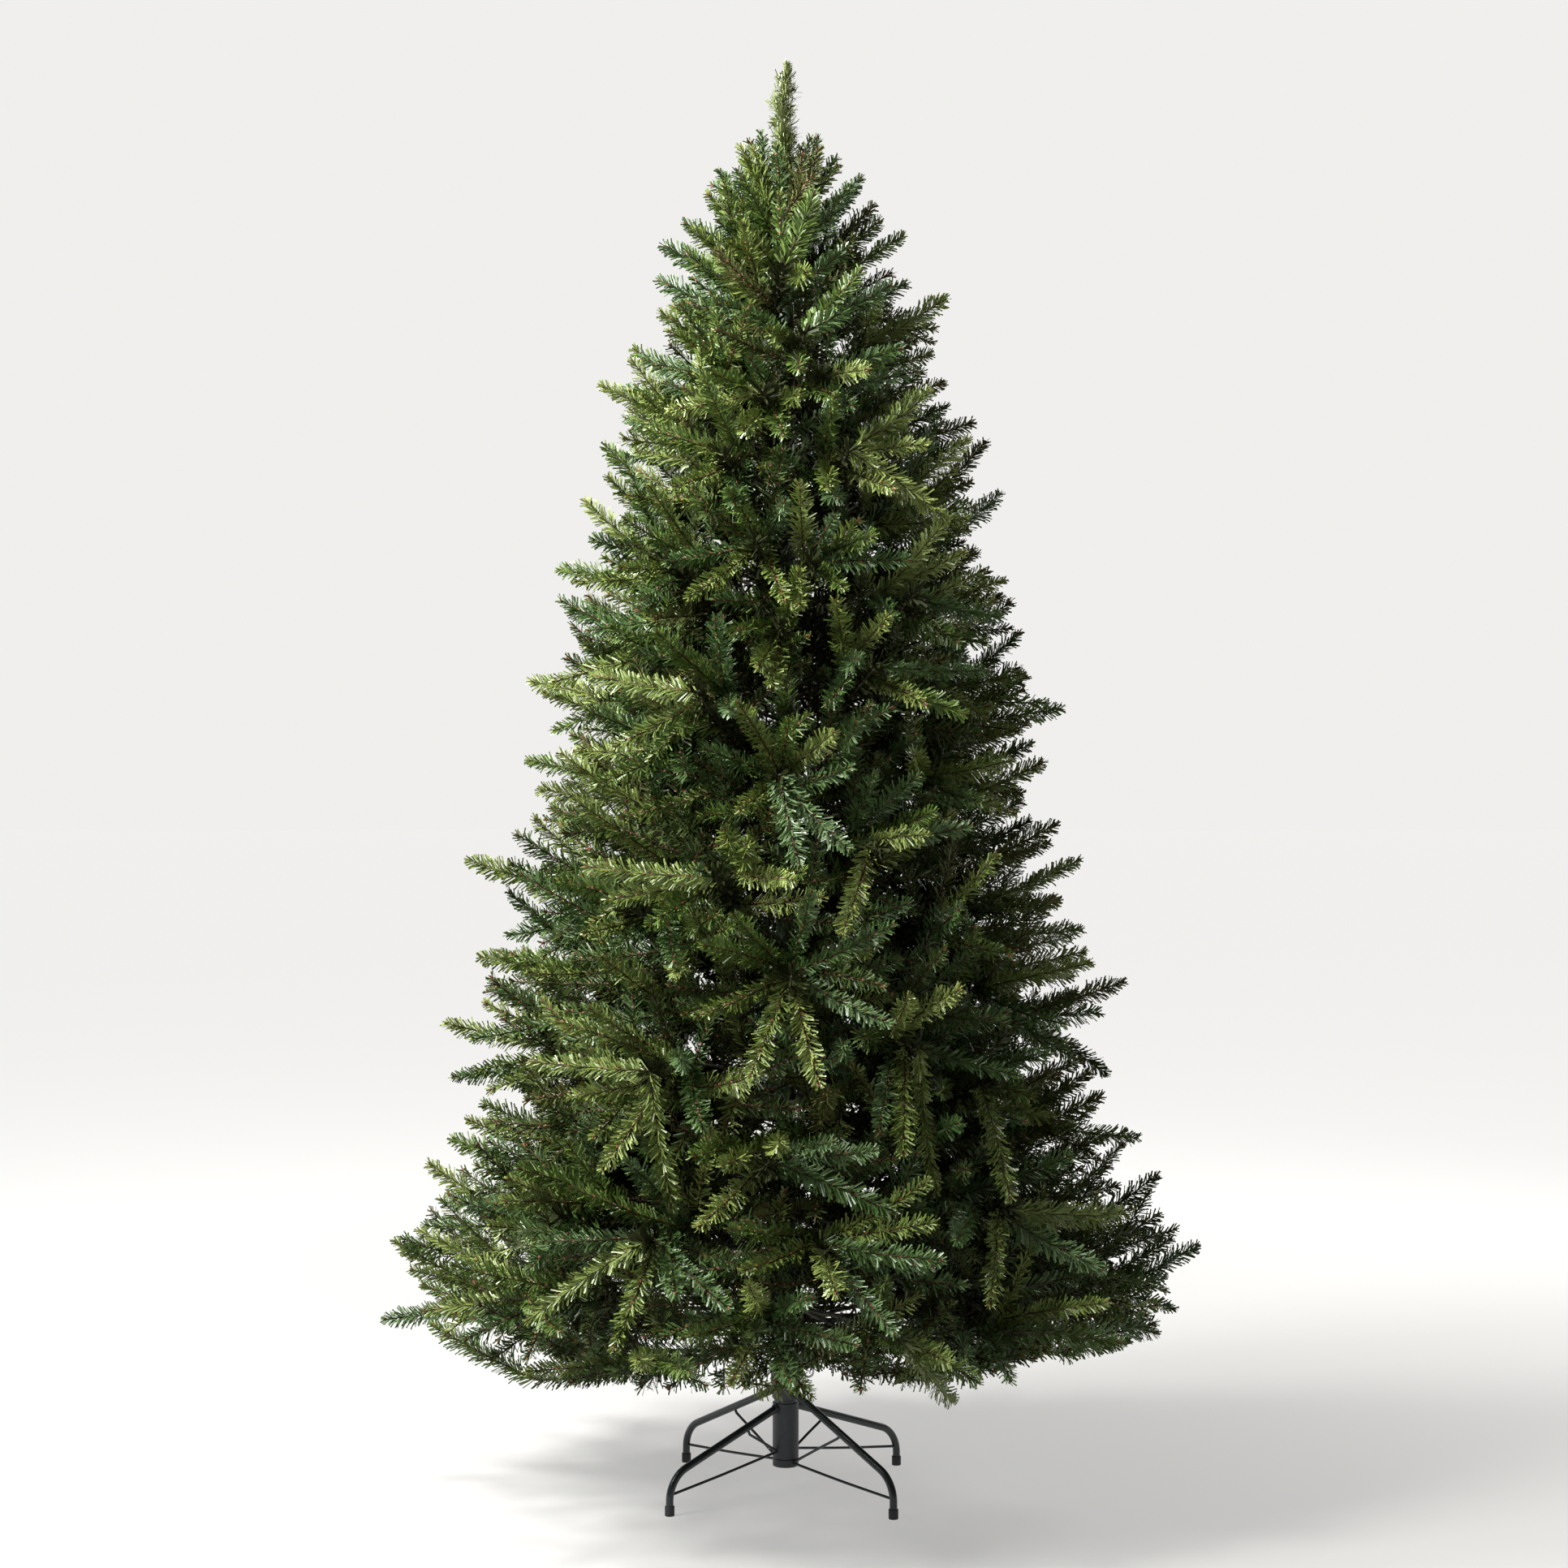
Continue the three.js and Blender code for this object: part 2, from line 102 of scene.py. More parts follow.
def coated(name, low, high, scale, roughness, bump, metallic=0.0, specular=0.5, coat=0.0):
    """Painted metal or moulded plastic: a faint mottle, uneven gloss and a fine orange-peel relief."""
    m = material(name, low, roughness[0], metallic, specular, coat)
    t = m.node_tree
    b = t.nodes["Principled BSDF"]
    co = t.nodes.new("ShaderNodeTexCoord")
    n = t.nodes.new("ShaderNodeTexNoise")
    n.inputs["Scale"].default_value = scale
    n.inputs["Detail"].default_value = 6.0
    n.inputs["Roughness"].default_value = 0.6
    t.links.new(co.outputs["Object"], n.inputs["Vector"])
    ramp = t.nodes.new("ShaderNodeValToRGB")
    ramp.color_ramp.elements[0].position = 0.32
    ramp.color_ramp.elements[1].position = 0.72
    ramp.color_ramp.elements[0].color = (*low, 1)
    ramp.color_ramp.elements[1].color = (*high, 1)
    t.links.new(n.outputs["Fac"], ramp.inputs["Fac"])
    t.links.new(ramp.outputs["Color"], b.inputs["Base Color"])
    r = t.nodes.new("ShaderNodeMapRange")
    r.inputs["To Min"].default_value = roughness[0]
    r.inputs["To Max"].default_value = roughness[1]
    t.links.new(n.outputs["Fac"], r.inputs["Value"])
    t.links.new(r.outputs["Result"], b.inputs["Roughness"])
    fine = t.nodes.new("ShaderNodeTexNoise")
    fine.inputs["Scale"].default_value = scale * 14
    fine.inputs["Detail"].default_value = 3.0
    t.links.new(co.outputs["Object"], fine.inputs["Vector"])
    bp = t.nodes.new("ShaderNodeBump")
    bp.inputs["Strength"].default_value = bump
    bp.inputs["Distance"].default_value = 0.0004
    t.links.new(fine.outputs["Fac"], bp.inputs["Height"])
    t.links.new(bp.outputs["Normal"], b.inputs["Normal"])
    return m


STAND = coated("stand_grey_paint", (0.039, 0.043, 0.048), (0.056, 0.060, 0.066), 60, (0.36, 0.52), 0.25, 0.25)
LEG = coated("leg_dark_paint", (0.021, 0.028, 0.030), (0.032, 0.040, 0.042), 60, (0.26, 0.40), 0.2, 0.3, 0.5, 0.3)
COLLAR = coated("collar_plastic", (0.040, 0.040, 0.044), (0.052, 0.052, 0.056), 90, (0.48, 0.60), 0.3)
CAP = coated("foot_cap_plastic", (0.026, 0.026, 0.028), (0.036, 0.036, 0.038), 120, (0.55, 0.70), 0.35)
POLE = coated("pole_green_paint", (0.020, 0.034, 0.018), (0.030, 0.048, 0.026), 60, (0.40, 0.55), 0.2, 0.2)
STEEL = coated("bright_wire", (0.42, 0.43, 0.44), (0.55, 0.56, 0.57), 200, (0.24, 0.38), 0.15, 1.0)
WIRE = coated("bough_wire", (0.030, 0.028, 0.016), (0.055, 0.045, 0.026), 150, (0.55, 0.75), 0.4)

# needle greens: linear base colour, how often a tip takes each, and how warm it is. Lime and frost are paler,
# lit-looking copies of olive and fir, and pine and moss darker, shaded ones: in part a real spread of tone, in part
# painted light and shade where the tables, the side of the crown and the depth in it choose them.
GREENS = {
    "lime": ((0.156, 0.200, 0.050), 0.12, 1.0),
    "olive": ((0.101, 0.140, 0.027), 0.23, 1.0),
    "leaf": ((0.068, 0.113, 0.018), 0.21, 0.55),
    "fir": ((0.045, 0.089, 0.021), 0.18, 0.15),
    "frost": ((0.061, 0.108, 0.036), 0.09, 0.10),
    "pine": ((0.034, 0.055, 0.012), 0.10, 0.05),
    "moss": ((0.066, 0.075, 0.020), 0.07, 0.60),
}
NEEDLE = {k: material(f"needle_{k}", c[0], 0.43, 0.0, 0.24 if k in ("moss", "pine") else 0.44) for k, c in GREENS.items()}
NEEDLE["leader"] = material("needle_leader", (0.118, 0.146, 0.048), 0.36, 0.0, 0.50)
# painted shade: the inner green is near black, the shade deep in the crown painted into the needles' colour
NEEDLE["inner"] = material("needle_inner_painted_shade", (0.017, 0.021, 0.006), 0.6, 0.0, 0.12)
CORE = material("core_brown", (0.024, 0.012, 0.007), 0.7, 0.0, 0.15)
FLECK = material("fleck_russet", (0.135, 0.040, 0.018), 0.6, 0.0, 0.2)
END = material("tip_end_tan", (0.240, 0.105, 0.060), 0.5, 0.0, 0.4)


# ------------------------------------------------------------------ pieces from arrays
def piece(name, verts, faces, mat, nodes=(), smooth=False):
    """One joined mesh. faces is an integer array with 3 or 4 columns, or a list of such arrays."""
    faces = faces if isinstance(faces, list) else [faces]
    me = bpy.data.meshes.new(name)
    verts = np.ascontiguousarray(verts, dtype=np.float32)
    me.vertices.add(len(verts))
    me.vertices.foreach_set("co", verts.ravel())
    loops = np.concatenate([f.ravel() for f in faces]).astype(np.int32)
    sizes = np.concatenate([np.full(len(f), f.shape[1]) for f in faces]).astype(np.int32)
    starts = np.concatenate([[0], np.cumsum(sizes)[:-1]]).astype(np.int32)
    me.loops.add(len(loops))
    me.loops.foreach_set("vertex_index", loops)
    me.polygons.add(len(sizes))
    me.polygons.foreach_set("loop_start", starts)
    me.update(calc_edges=True)
    if smooth:
        me.polygons.foreach_set("use_smooth", np.ones(len(sizes), bool))
        me.set_sharp_from_angle(angle=math.radians(38))
    me.materials.append(mat)
    o = bpy.data.objects.new(name, me)
    bpy.context.scene.collection.objects.link(o)
    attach(o, "root")
    if nodes:
        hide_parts(*nodes)
    return o


def lathe(profile, sides):
    """A closed body of revolution about Z from [radius, z] pairs that close on themselves."""
    p = np.array(profile, float)
    a = np.linspace(0, 2 * math.pi, sides, endpoint=False)
    v = np.stack([p[None, :, 0] * np.cos(a)[:, None], p[None, :, 0] * np.sin(a)[:, None],
                  np.broadcast_to(p[None, :, 1], (sides, len(p)))], -1)
    n = len(p)
    i, j = np.meshgrid(np.arange(sides), np.arange(n), indexing="ij")
    k, l = (i + 1) % sides, (j + 1) % n
    f = np.stack([i * n + j, k * n + j, k * n + l, i * n + l], -1).reshape(-1, 4)
    axis = (p[:, 0] < 1e-9) & (np.roll(p[:, 0], -1) < 1e-9)
    f = f.reshape(sides, n, 4)[:, ~axis].reshape(-1, 4)
    return v.reshape(-1, 3), f


def welded(v, f):
    """Joins vertices that coincide, such as those on a lathe's axis."""
    key = np.round(v / 1e-7).astype(np.int64)
    _, first, back = np.unique(key, axis=0, return_index=True, return_inverse=True)
    f = back.reshape(-1)[f]
    tri, quad = [], []
    for q in f:
        u = list(dict.fromkeys(q.tolist()))
        if len(u) == 4:
            quad.append(u)
        elif len(u) == 3:
            tri.append(u)
    out = [np.array(x, int).reshape(-1, n) for x, n in ((tri, 3), (quad, 4)) if x]
    return v[first], out


def sweep(points, radii, sides, side=None, closed_ends=True):
    """A round tube along points. side is a fixed vector across a path that lies in a plane."""
    p = np.asarray(points, float)
    t = unit(np.gradient(p, axis=0))
    if side is None:
        n = across(np.array([0.2, -0.4, 0.9]), t[0])
        ns = [n]
        for k in range(1, len(p)):
            ns.append(across(ns[-1], t[k]))
        ns = np.array(ns)
        bs = np.cross(t, ns)
    else:
        bs = np.broadcast_to(unit(side), p.shape)
        ns = np.cross(bs, t)
    w = np.linspace(0, 2 * math.pi, sides, endpoint=False)
    r = np.asarray(radii, float).reshape(-1, 1, 1)
    v = p[:, None] + r * (np.cos(w)[None, :, None] * ns[:, None] + np.sin(w)[None, :, None] * bs[:, None])
    m = len(p)
    i, j = np.meshgrid(np.arange(m - 1), np.arange(sides), indexing="ij")
    l = (j + 1) % sides
    f = [np.stack([i * sides + j, i * sides + l, (i + 1) * sides + l, (i + 1) * sides + j], -1).reshape(-1, 4)]
    v = v.reshape(-1, 3)
    if closed_ends:
        v = np.concatenate([v, p[:1], p[-1:]])
        a, b = m * sides, m * sides + 1
        k = np.arange(sides)
        l = (k + 1) % sides
        f.append(np.stack([np.full(sides, a), l, k], -1))
        f.append(np.stack([np.full(sides, b), (m - 1) * sides + k, (m - 1) * sides + l], -1))
    return v, f


def joined(parts):
    """Several (vertices, faces) as one."""
    vs, by = [], {}
    base = 0
    for v, fs in parts:
        for f in (fs if isinstance(fs, list) else [fs]):
            by.setdefault(f.shape[1], []).append(f + base)
        vs.append(v)
        base += len(v)
    return np.concatenate(vs), [np.concatenate(x) for x in by.values()]


# ------------------------------------------------------------------ growth
# Tips given one by one, in metres: (base, end, green). The side tips stand out at the crown's left and right,
# and each star is a bough's end on the front, with the ends of the tips that spread from it.
# The greens in these tables are in part painted light and shade: tips on the right, the crown's shaded side, mostly
# take the darker moss and pine, and tips that catch the light the paler lime and frost.
SIDE_TIPS = [
    ((-0.33, -0.041, 0.777), (-0.444, -0.057, 0.79), "o"),
    ((-0.366, 0.03, 0.712), (-0.426, 0.035, 0.751), "f"),
    ((-0.348, -0.041, 0.684), (-0.438, -0.045, 0.722), "l"),
    ((-0.375, -0.002, 0.663), (-0.498, -0.023, 0.691), "l"),
    ((-0.372, 0.023, 0.625), (-0.49, 0.0, 0.61), "f"),
    ((-0.321, -0.011, 0.524), (-0.443, -0.01, 0.571), "g"),
    ((-0.333, -0.007, 0.493), (-0.468, -0.002, 0.546), "o"),
    ((-0.348, 0.024, 0.476), (-0.497, 0.051, 0.511), "g"),
    ((-0.392, -0.022, 0.4), (-0.524, -0.013, 0.482), "l"),
    ((-0.444, 0.02, 0.39), (-0.531, 0.007, 0.388), "f"),
    ((-0.413, -0.05, 0.324), (-0.538, -0.021, 0.385), "l"),
    ((-0.439, -0.02, 0.298), (-0.572, -0.031, 0.371), "o"),
    ((-0.428, 0.039, 0.269), (-0.598, 0.044, 0.243), "f"),
    ((-0.417, -0.003, 0.189), (-0.522, 0.014, 0.24), "g"),
    ((-0.223, -0.047, 1.4), (-0.292, -0.035, 1.457), "l"),
    ((-0.201, -0.013, 1.373), (-0.281, -0.037, 1.401), "f"),
    ((-0.214, 0.016, 1.33), (-0.335, 0.042, 1.363), "g"),
    ((-0.2, -0.029, 1.283), (-0.315, -0.021, 1.293), "f"),
    ((-0.236, -0.02, 1.241), (-0.294, -0.006, 1.252), "o"),
    ((-0.227, 0.022, 1.189), (-0.322, 0.005, 1.228), "p"),
    ((-0.215, 0.033, 1.169), (-0.378, 0.042, 1.196), "l"),
    ((-0.239, 0.018, 1.168), (-0.345, 0.037, 1.123), "g"),
    ((-0.225, -0.007, 1.041), (-0.38, 0.008, 1.078), "g"),
    ((-0.216, 0.038, 1.016), (-0.362, 0.014, 1.035), "l"),
    ((-0.282, 0.035, 0.923), (-0.372, 0.029, 0.99), "o"),
    ((-0.249, -0.002, 0.882), (-0.394, -0.023, 0.968), "p"),
    ((-0.323, 0.02, 0.891), (-0.466, 0.007, 0.93), "o"),
    ((-0.337, 0.037, 0.82), (-0.41, 0.024, 0.881), "f"),
    ((-0.322, 0.006, 0.84), (-0.409, 0.0, 0.819), "f"),
    ((-0.019, 0.011, 1.917), (-0.036, -0.007, 2.003), "f"),
    ((-0.024, -0.032, 1.881), (-0.065, -0.017, 1.98), "o"),
    ((-0.04, 0.025, 1.877), (-0.098, 0.029, 1.955), "f"),
    ((-0.04, 0.042, 1.85), (-0.115, 0.024, 1.92), "o"),
    ((-0.058, 0.035, 1.827), (-0.148, 0.015, 1.875), "f"),
    ((-0.073, 0.046, 1.784), (-0.18, 0.054, 1.848), "f"),
    ((-0.088, 0.011, 1.746), (-0.187, 0.039, 1.794), "f"),
    ((-0.094, 0.029, 1.721), (-0.167, 0.046, 1.756), "o"),
    ((-0.104, -0.045, 1.685), (-0.18, -0.052, 1.73), "o"),
    ((-0.087, -0.042, 1.658), (-0.169, -0.06, 1.703), "o"),
    ((-0.117, -0.029, 1.634), (-0.222, -0.007, 1.683), "g"),
    ((-0.176, -0.037, 1.583), (-0.268, -0.05, 1.625), "l"),
    ((-0.142, -0.001, 1.602), (-0.232, 0.02, 1.628), "g"),
    ((-0.131, 0.047, 1.574), (-0.229, 0.059, 1.577), "f"),
    ((-0.182, -0.029, 1.467), (-0.264, -0.026, 1.539), "g"),
    ((-0.178, 0.021, 1.418), (-0.261, -0.006, 1.496), "o"),
    ((0.02, 0.018, 1.918), (0.047, 0.01, 2.0), "f"),
    ((0.032, 0.009, 1.91), (0.075, 0.019, 1.97), "f"),
    ((0.045, 0.017, 1.876), (0.111, 0.018, 1.942), "f"),
    ((0.062, 0.005, 1.831), (0.128, -0.013, 1.894), "m"),
    ((0.068, -0.0, 1.821), (0.137, -0.023, 1.87), "p"),
    ((0.062, -0.002, 1.782), (0.173, 0.0, 1.854), "g"),
    ((0.075, 0.027, 1.751), (0.156, 0.021, 1.802), "m"),
    ((0.091, -0.048, 1.72), (0.174, -0.046, 1.774), "p"),
    ((0.116, -0.029, 1.688), (0.233, -0.015, 1.757), "o"),
    ((0.11, -0.011, 1.673), (0.189, -0.018, 1.695), "m"),
    ((0.111, 0.041, 1.656), (0.215, 0.035, 1.684), "o"),
    ((0.122, -0.015, 1.6), (0.23, -0.024, 1.632), "m"),
    ((0.116, -0.002, 1.554), (0.235, -0.026, 1.596), "p"),
    ((0.147, 0.005, 1.543), (0.277, 0.03, 1.581), "m"),
    ((0.147, 0.006, 1.483), (0.258, 0.021, 1.55), "p"),
    ((0.184, 0.045, 1.438), (0.299, 0.065, 1.556), "m"),
    ((0.196, 0.024, 1.376), (0.319, 0.043, 1.475), "f"),
    ((0.208, 0.032, 1.328), (0.277, 0.017, 1.39), "m"),
    ((0.218, -0.002, 1.308), (0.297, -0.011, 1.355), "p"),
    ((0.217, -0.024, 1.313), (0.321, -0.02, 1.343), "l"),
    ((0.217, -0.018, 1.307), (0.317, -0.011, 1.318), "m"),
    ((0.231, 0.008, 1.182), (0.344, -0.015, 1.265), "p"),
    ((0.236, -0.006, 1.146), (0.352, -0.012, 1.2), "m"),
    ((0.268, 0.021, 1.135), (0.405, -0.004, 1.154), "g"),
    ((0.229, -0.033, 1.11), (0.312, -0.032, 1.122), "m"),
    ((0.248, -0.01, 1.062), (0.362, 0.0, 1.101), "p"),
    ((0.247, -0.017, 1.02), (0.375, -0.035, 1.074), "o"),
    ((0.263, 0.043, 1.044), (0.35, 0.028, 1.029), "m"),
    ((0.264, -0.035, 0.979), (0.342, -0.048, 1.015), "p"),
    ((0.283, -0.016, 0.913), (0.395, -0.033, 0.982), "m"),
    ((0.309, 0.004, 0.876), (0.436, 0.03, 0.929), "o"),
    ((0.3, -0.037, 0.866), (0.399, -0.042, 0.872), "m"),
    ((0.328, 0.017, 0.815), (0.44, 0.04, 0.824), "g"),
    ((0.3, 0.05, 0.765), (0.443, 0.029, 0.793), "l"),
    ((0.327, 0.004, 0.762), (0.425, 0.027, 0.756), "p"),
    ((0.353, -0.045, 0.708), (0.493, -0.039, 0.753), "m"),
    ((0.336, -0.033, 0.691), (0.459, -0.017, 0.706), "f"),
    ((0.36, 0.044, 0.674), (0.479, 0.046, 0.611), "p"),
    ((0.34, -0.049, 0.516), (0.456, -0.075, 0.588), "m"),
    ((0.368, -0.008, 0.541), (0.52, 0.012, 0.518), "g"),
    ((0.408, -0.026, 0.436), (0.495, -0.016, 0.512), "m"),
    ((0.421, -0.009, 0.386), (0.545, -0.024, 0.467), "p"),
    ((0.449, 0.02, 0.327), (0.551, 0.009, 0.404), "m"),
    ((0.445, -0.013, 0.308), (0.569, 0.003, 0.369), "p"),
    ((0.47, -0.0, 0.294), (0.61, 0.017, 0.356), "f"),
    ((0.435, 0.002, 0.3), (0.571, -0.019, 0.271), "f"),
    ((0.422, -0.006, 0.283), (0.548, 0.017, 0.227), "m"),
    ((0.345, 0.006, 0.203), (0.511, 0.034, 0.213), "g"),
]
STARS = [
    ((0.008, -0.418, 0.787), [((-0.116, -0.451, 0.737), "o"), ((-0.046, -0.474, 0.661), "o"), ((0.043, -0.471, 0.649), "l"), ((0.138, -0.45, 0.726), "F"), ((0.142, -0.431, 0.856), "f"), ((0.034, -0.446, 0.901), "f"), ((-0.107, -0.44, 0.829), "g"), ((-0.068, -0.446, 0.869), "g"), ((0.128, -0.449, 0.776), "p")]),
    ((-0.185, -0.454, 0.439), [((-0.34, -0.454, 0.335), "o"), ((-0.221, -0.537, 0.316), "o"), ((-0.142, -0.551, 0.39), "f"), ((-0.321, -0.427, 0.435), "F"), ((-0.286, -0.418, 0.506), "g"), ((-0.21, -0.445, 0.543), "F"), ((-0.074, -0.555, 0.37), "f")]),
    ((0.055, -0.489, 0.434), [((-0.072, -0.519, 0.466), "g"), ((-0.054, -0.548, 0.417), "o"), ((0.064, -0.567, 0.393), "l"), ((0.14, -0.568, 0.341), "F"), ((0.201, -0.514, 0.425), "f"), ((0.193, -0.49, 0.47), "o"), ((0.187, -0.466, 0.521), "o")]),
    ((0.18, -0.386, 0.69), [((0.163, -0.443, 0.762), "l"), ((0.231, -0.414, 0.768), "l"), ((0.123, -0.456, 0.584), "F"), ((0.155, -0.46, 0.556), "o"), ((0.203, -0.386, 0.496), "o"), ((0.317, -0.343, 0.646), "f"), ((0.098, -0.461, 0.713), "p")]),
    ((0.303, -0.376, 0.471), [((0.223, -0.489, 0.448), "f"), ((0.267, -0.497, 0.364), "o"), ((0.424, -0.397, 0.394), "F"), ((0.389, -0.313, 0.533), "f"), ((0.458, -0.29, 0.452), "o"), ((0.239, -0.436, 0.533), "p")]),
    ((0.281, -0.325, 0.634), [((0.299, -0.405, 0.491), "o"), ((0.336, -0.326, 0.616), "g"), ((0.207, -0.421, 0.634), "p"), ((0.359, -0.297, 0.671), "f")]),
    ((-0.182, -0.404, 0.659), [((-0.242, -0.434, 0.533), "l"), ((-0.152, -0.404, 0.475), "o"), ((-0.143, -0.459, 0.686), "F"), ((-0.309, -0.359, 0.723), "o"), ((-0.264, -0.378, 0.741), "o"), ((-0.345, -0.345, 0.666), "o"), ((-0.11, -0.46, 0.59), "f")]),
    ((-0.025, -0.457, 0.541), [((-0.12, -0.472, 0.555), "g"), ((-0.083, -0.485, 0.543), "l"), ((-0.112, -0.51, 0.468), "l"), ((0.061, -0.474, 0.573), "F"), ((0.136, -0.457, 0.48), "f"), ((-0.009, -0.477, 0.576), "l"), ((0.119, -0.468, 0.561), "F")]),
    ((-0.122, -0.313, 1.17), [((-0.267, -0.254, 1.194), "o"), ((-0.176, -0.308, 1.251), "g"), ((-0.237, -0.268, 1.096), "o"), ((-0.075, -0.361, 1.142), "F"), ((-0.096, -0.335, 1.268), "f"), ((-0.187, -0.306, 1.077), "g")]),
    ((-0.009, -0.326, 1.055), [((0.065, -0.367, 1.112), "l"), ((-0.064, -0.363, 1.153), "o"), ((-0.11, -0.344, 1.091), "f"), ((-0.061, -0.38, 1.008), "o"), ((0.017, -0.437, 0.939), "F"), ((0.083, -0.414, 0.956), "F"), ((0.005, -0.373, 1.13), "g")]),
    ((-0.042, -0.29, 1.379), [((-0.132, -0.316, 1.298), "o"), ((-0.078, -0.297, 1.447), "g"), ((-0.002, -0.341, 1.293), "o"), ((-0.163, -0.288, 1.349), "f"), ((-0.002, -0.312, 1.43), "F")]),
    ((0.125, -0.305, 1.205), [((0.139, -0.314, 1.272), "l"), ((0.283, -0.215, 1.202), "f"), ((0.055, -0.371, 1.15), "f"), ((0.19, -0.331, 1.152), "l"), ((0.069, -0.333, 1.292), "o"), ((0.098, -0.343, 1.213), "F"), ((0.244, -0.306, 1.139), "g")]),
    ((0.128, -0.365, 0.956), [((0.181, -0.312, 1.053), "F"), ((0.12, -0.34, 1.056), "f"), ((0.253, -0.309, 0.985), "F"), ((0.19, -0.361, 0.974), "l"), ((0.075, -0.448, 0.846), "l"), ((0.201, -0.329, 1.005), "g")]),
    ((-0.095, -0.407, 0.919), [((0.009, -0.446, 0.917), "l"), ((-0.27, -0.364, 0.932), "o"), ((-0.118, -0.433, 0.929), "F"), ((-0.052, -0.417, 0.963), "o"), ((-0.182, -0.414, 0.855), "g"), ((-0.238, -0.385, 0.888), "o")]),
    ((-0.212, -0.346, 0.873), [((-0.307, -0.337, 0.912), "g"), ((-0.243, -0.379, 0.815), "f"), ((-0.149, -0.428, 0.807), "f"), ((-0.272, -0.36, 0.841), "o")]),
    ((-0.04, -0.54, 0.338), [((-0.047, -0.562, 0.4), "l"), ((0.09, -0.574, 0.326), "f"), ((-0.133, -0.566, 0.333), "g"), ((0.007, -0.574, 0.282), "f"), ((-0.071, -0.563, 0.275), "l"), ((0.033, -0.574, 0.386), "f")]),
    ((0.15, -0.511, 0.322), [((0.225, -0.358, 0.208), "o"), ((0.096, -0.546, 0.264), "p"), ((0.211, -0.536, 0.296), "o"), ((0.251, -0.491, 0.261), "g"), ((0.127, -0.551, 0.403), "p")]),
    ((0.361, -0.39, 0.309), [((0.428, -0.412, 0.351), "o"), ((0.296, -0.461, 0.257), "f"), ((0.453, -0.352, 0.286), "g")]),
    ((-0.221, -0.474, 0.272), [((-0.279, -0.483, 0.263), "p"), ((-0.191, -0.548, 0.303), "l"), ((-0.123, -0.565, 0.291), "g"), ((-0.341, -0.448, 0.267), "o")]),
    ((-0.382, -0.353, 0.346), [((-0.45, -0.344, 0.389), "g"), ((-0.427, -0.399, 0.3), "f"), ((-0.34, -0.459, 0.286), "p"), ((-0.396, -0.378, 0.268), "p"), ((-0.295, -0.492, 0.329), "g")]),
    ((-0.305, -0.362, 0.457), [((-0.361, -0.349, 0.521), "g"), ((-0.383, -0.348, 0.477), "o"), ((-0.336, -0.442, 0.405), "f"), ((-0.292, -0.391, 0.56), "g")]),
    ((-0.003, -0.157, 1.778), [((-0.009, -0.142, 1.887), "g"), ((0.041, -0.139, 1.888), "g"), ((0.029, -0.202, 1.764), "o"), ((-0.061, -0.15, 1.842), "o"), ((-0.079, -0.154, 1.813), "o")]),
    ((0.025, -0.201, 1.678), [((0.08, -0.203, 1.737), "g"), ((0.106, -0.182, 1.769), "g"), ((0.149, -0.163, 1.751), "f"), ((-0.024, -0.235, 1.676), "o"), ((0.019, -0.256, 1.619), "g"), ((-0.049, -0.219, 1.704), "f")]),
    ((-0.032, -0.233, 1.594), [((-0.1, -0.241, 1.615), "g"), ((-0.162, -0.215, 1.568), "l"), ((-0.051, -0.249, 1.637), "f"), ((-0.003, -0.286, 1.525), "g"), ((0.019, -0.268, 1.581), "o"), ((-0.058, -0.276, 1.531), "o")]),
    ((0.048, -0.207, 1.62), [((0.114, -0.224, 1.623), "l"), ((0.163, -0.173, 1.66), "f"), ((0.07, -0.26, 1.581), "g"), ((0.092, -0.259, 1.568), "f")]),
    ((0.087, -0.246, 1.507), [((0.197, -0.224, 1.519), "l"), ((0.149, -0.274, 1.451), "l"), ((0.205, -0.164, 1.599), "o"), ((0.068, -0.262, 1.579), "g"), ((0.058, -0.304, 1.45), "o"), ((0.224, -0.227, 1.413), "l")]),
    ((-0.088, -0.247, 1.502), [((-0.119, -0.26, 1.514), "l"), ((-0.192, -0.192, 1.542), "g"), ((-0.155, -0.261, 1.455), "o"), ((-0.111, -0.239, 1.604), "g"), ((-0.07, -0.304, 1.428), "f")]),
    ((0.036, -0.289, 1.351), [((0.067, -0.309, 1.41), "F"), ((0.019, -0.308, 1.453), "l"), ((0.119, -0.298, 1.384), "g"), ((0.08, -0.326, 1.31), "g"), ((0.019, -0.341, 1.287), "o"), ((0.17, -0.278, 1.352), "f")]),
    ((0.183, -0.238, 1.31), [((0.25, -0.205, 1.369), "l"), ((0.303, -0.155, 1.281), "f"), ((0.224, -0.227, 1.413), "l"), ((0.147, -0.31, 1.272), "f"), ((0.239, -0.254, 1.241), "p")]),
    ((-0.009, -0.302, 1.261), [((-0.018, -0.365, 1.179), "o"), ((-0.036, -0.36, 1.203), "o"), ((0.019, -0.331, 1.335), "o"), ((-0.075, -0.344, 1.248), "g")]),
    ((-0.167, -0.241, 1.355), [((-0.23, -0.243, 1.344), "o"), ((-0.225, -0.22, 1.414), "g"), ((-0.19, -0.235, 1.458), "o"), ((-0.199, -0.281, 1.296), "f")]),
]
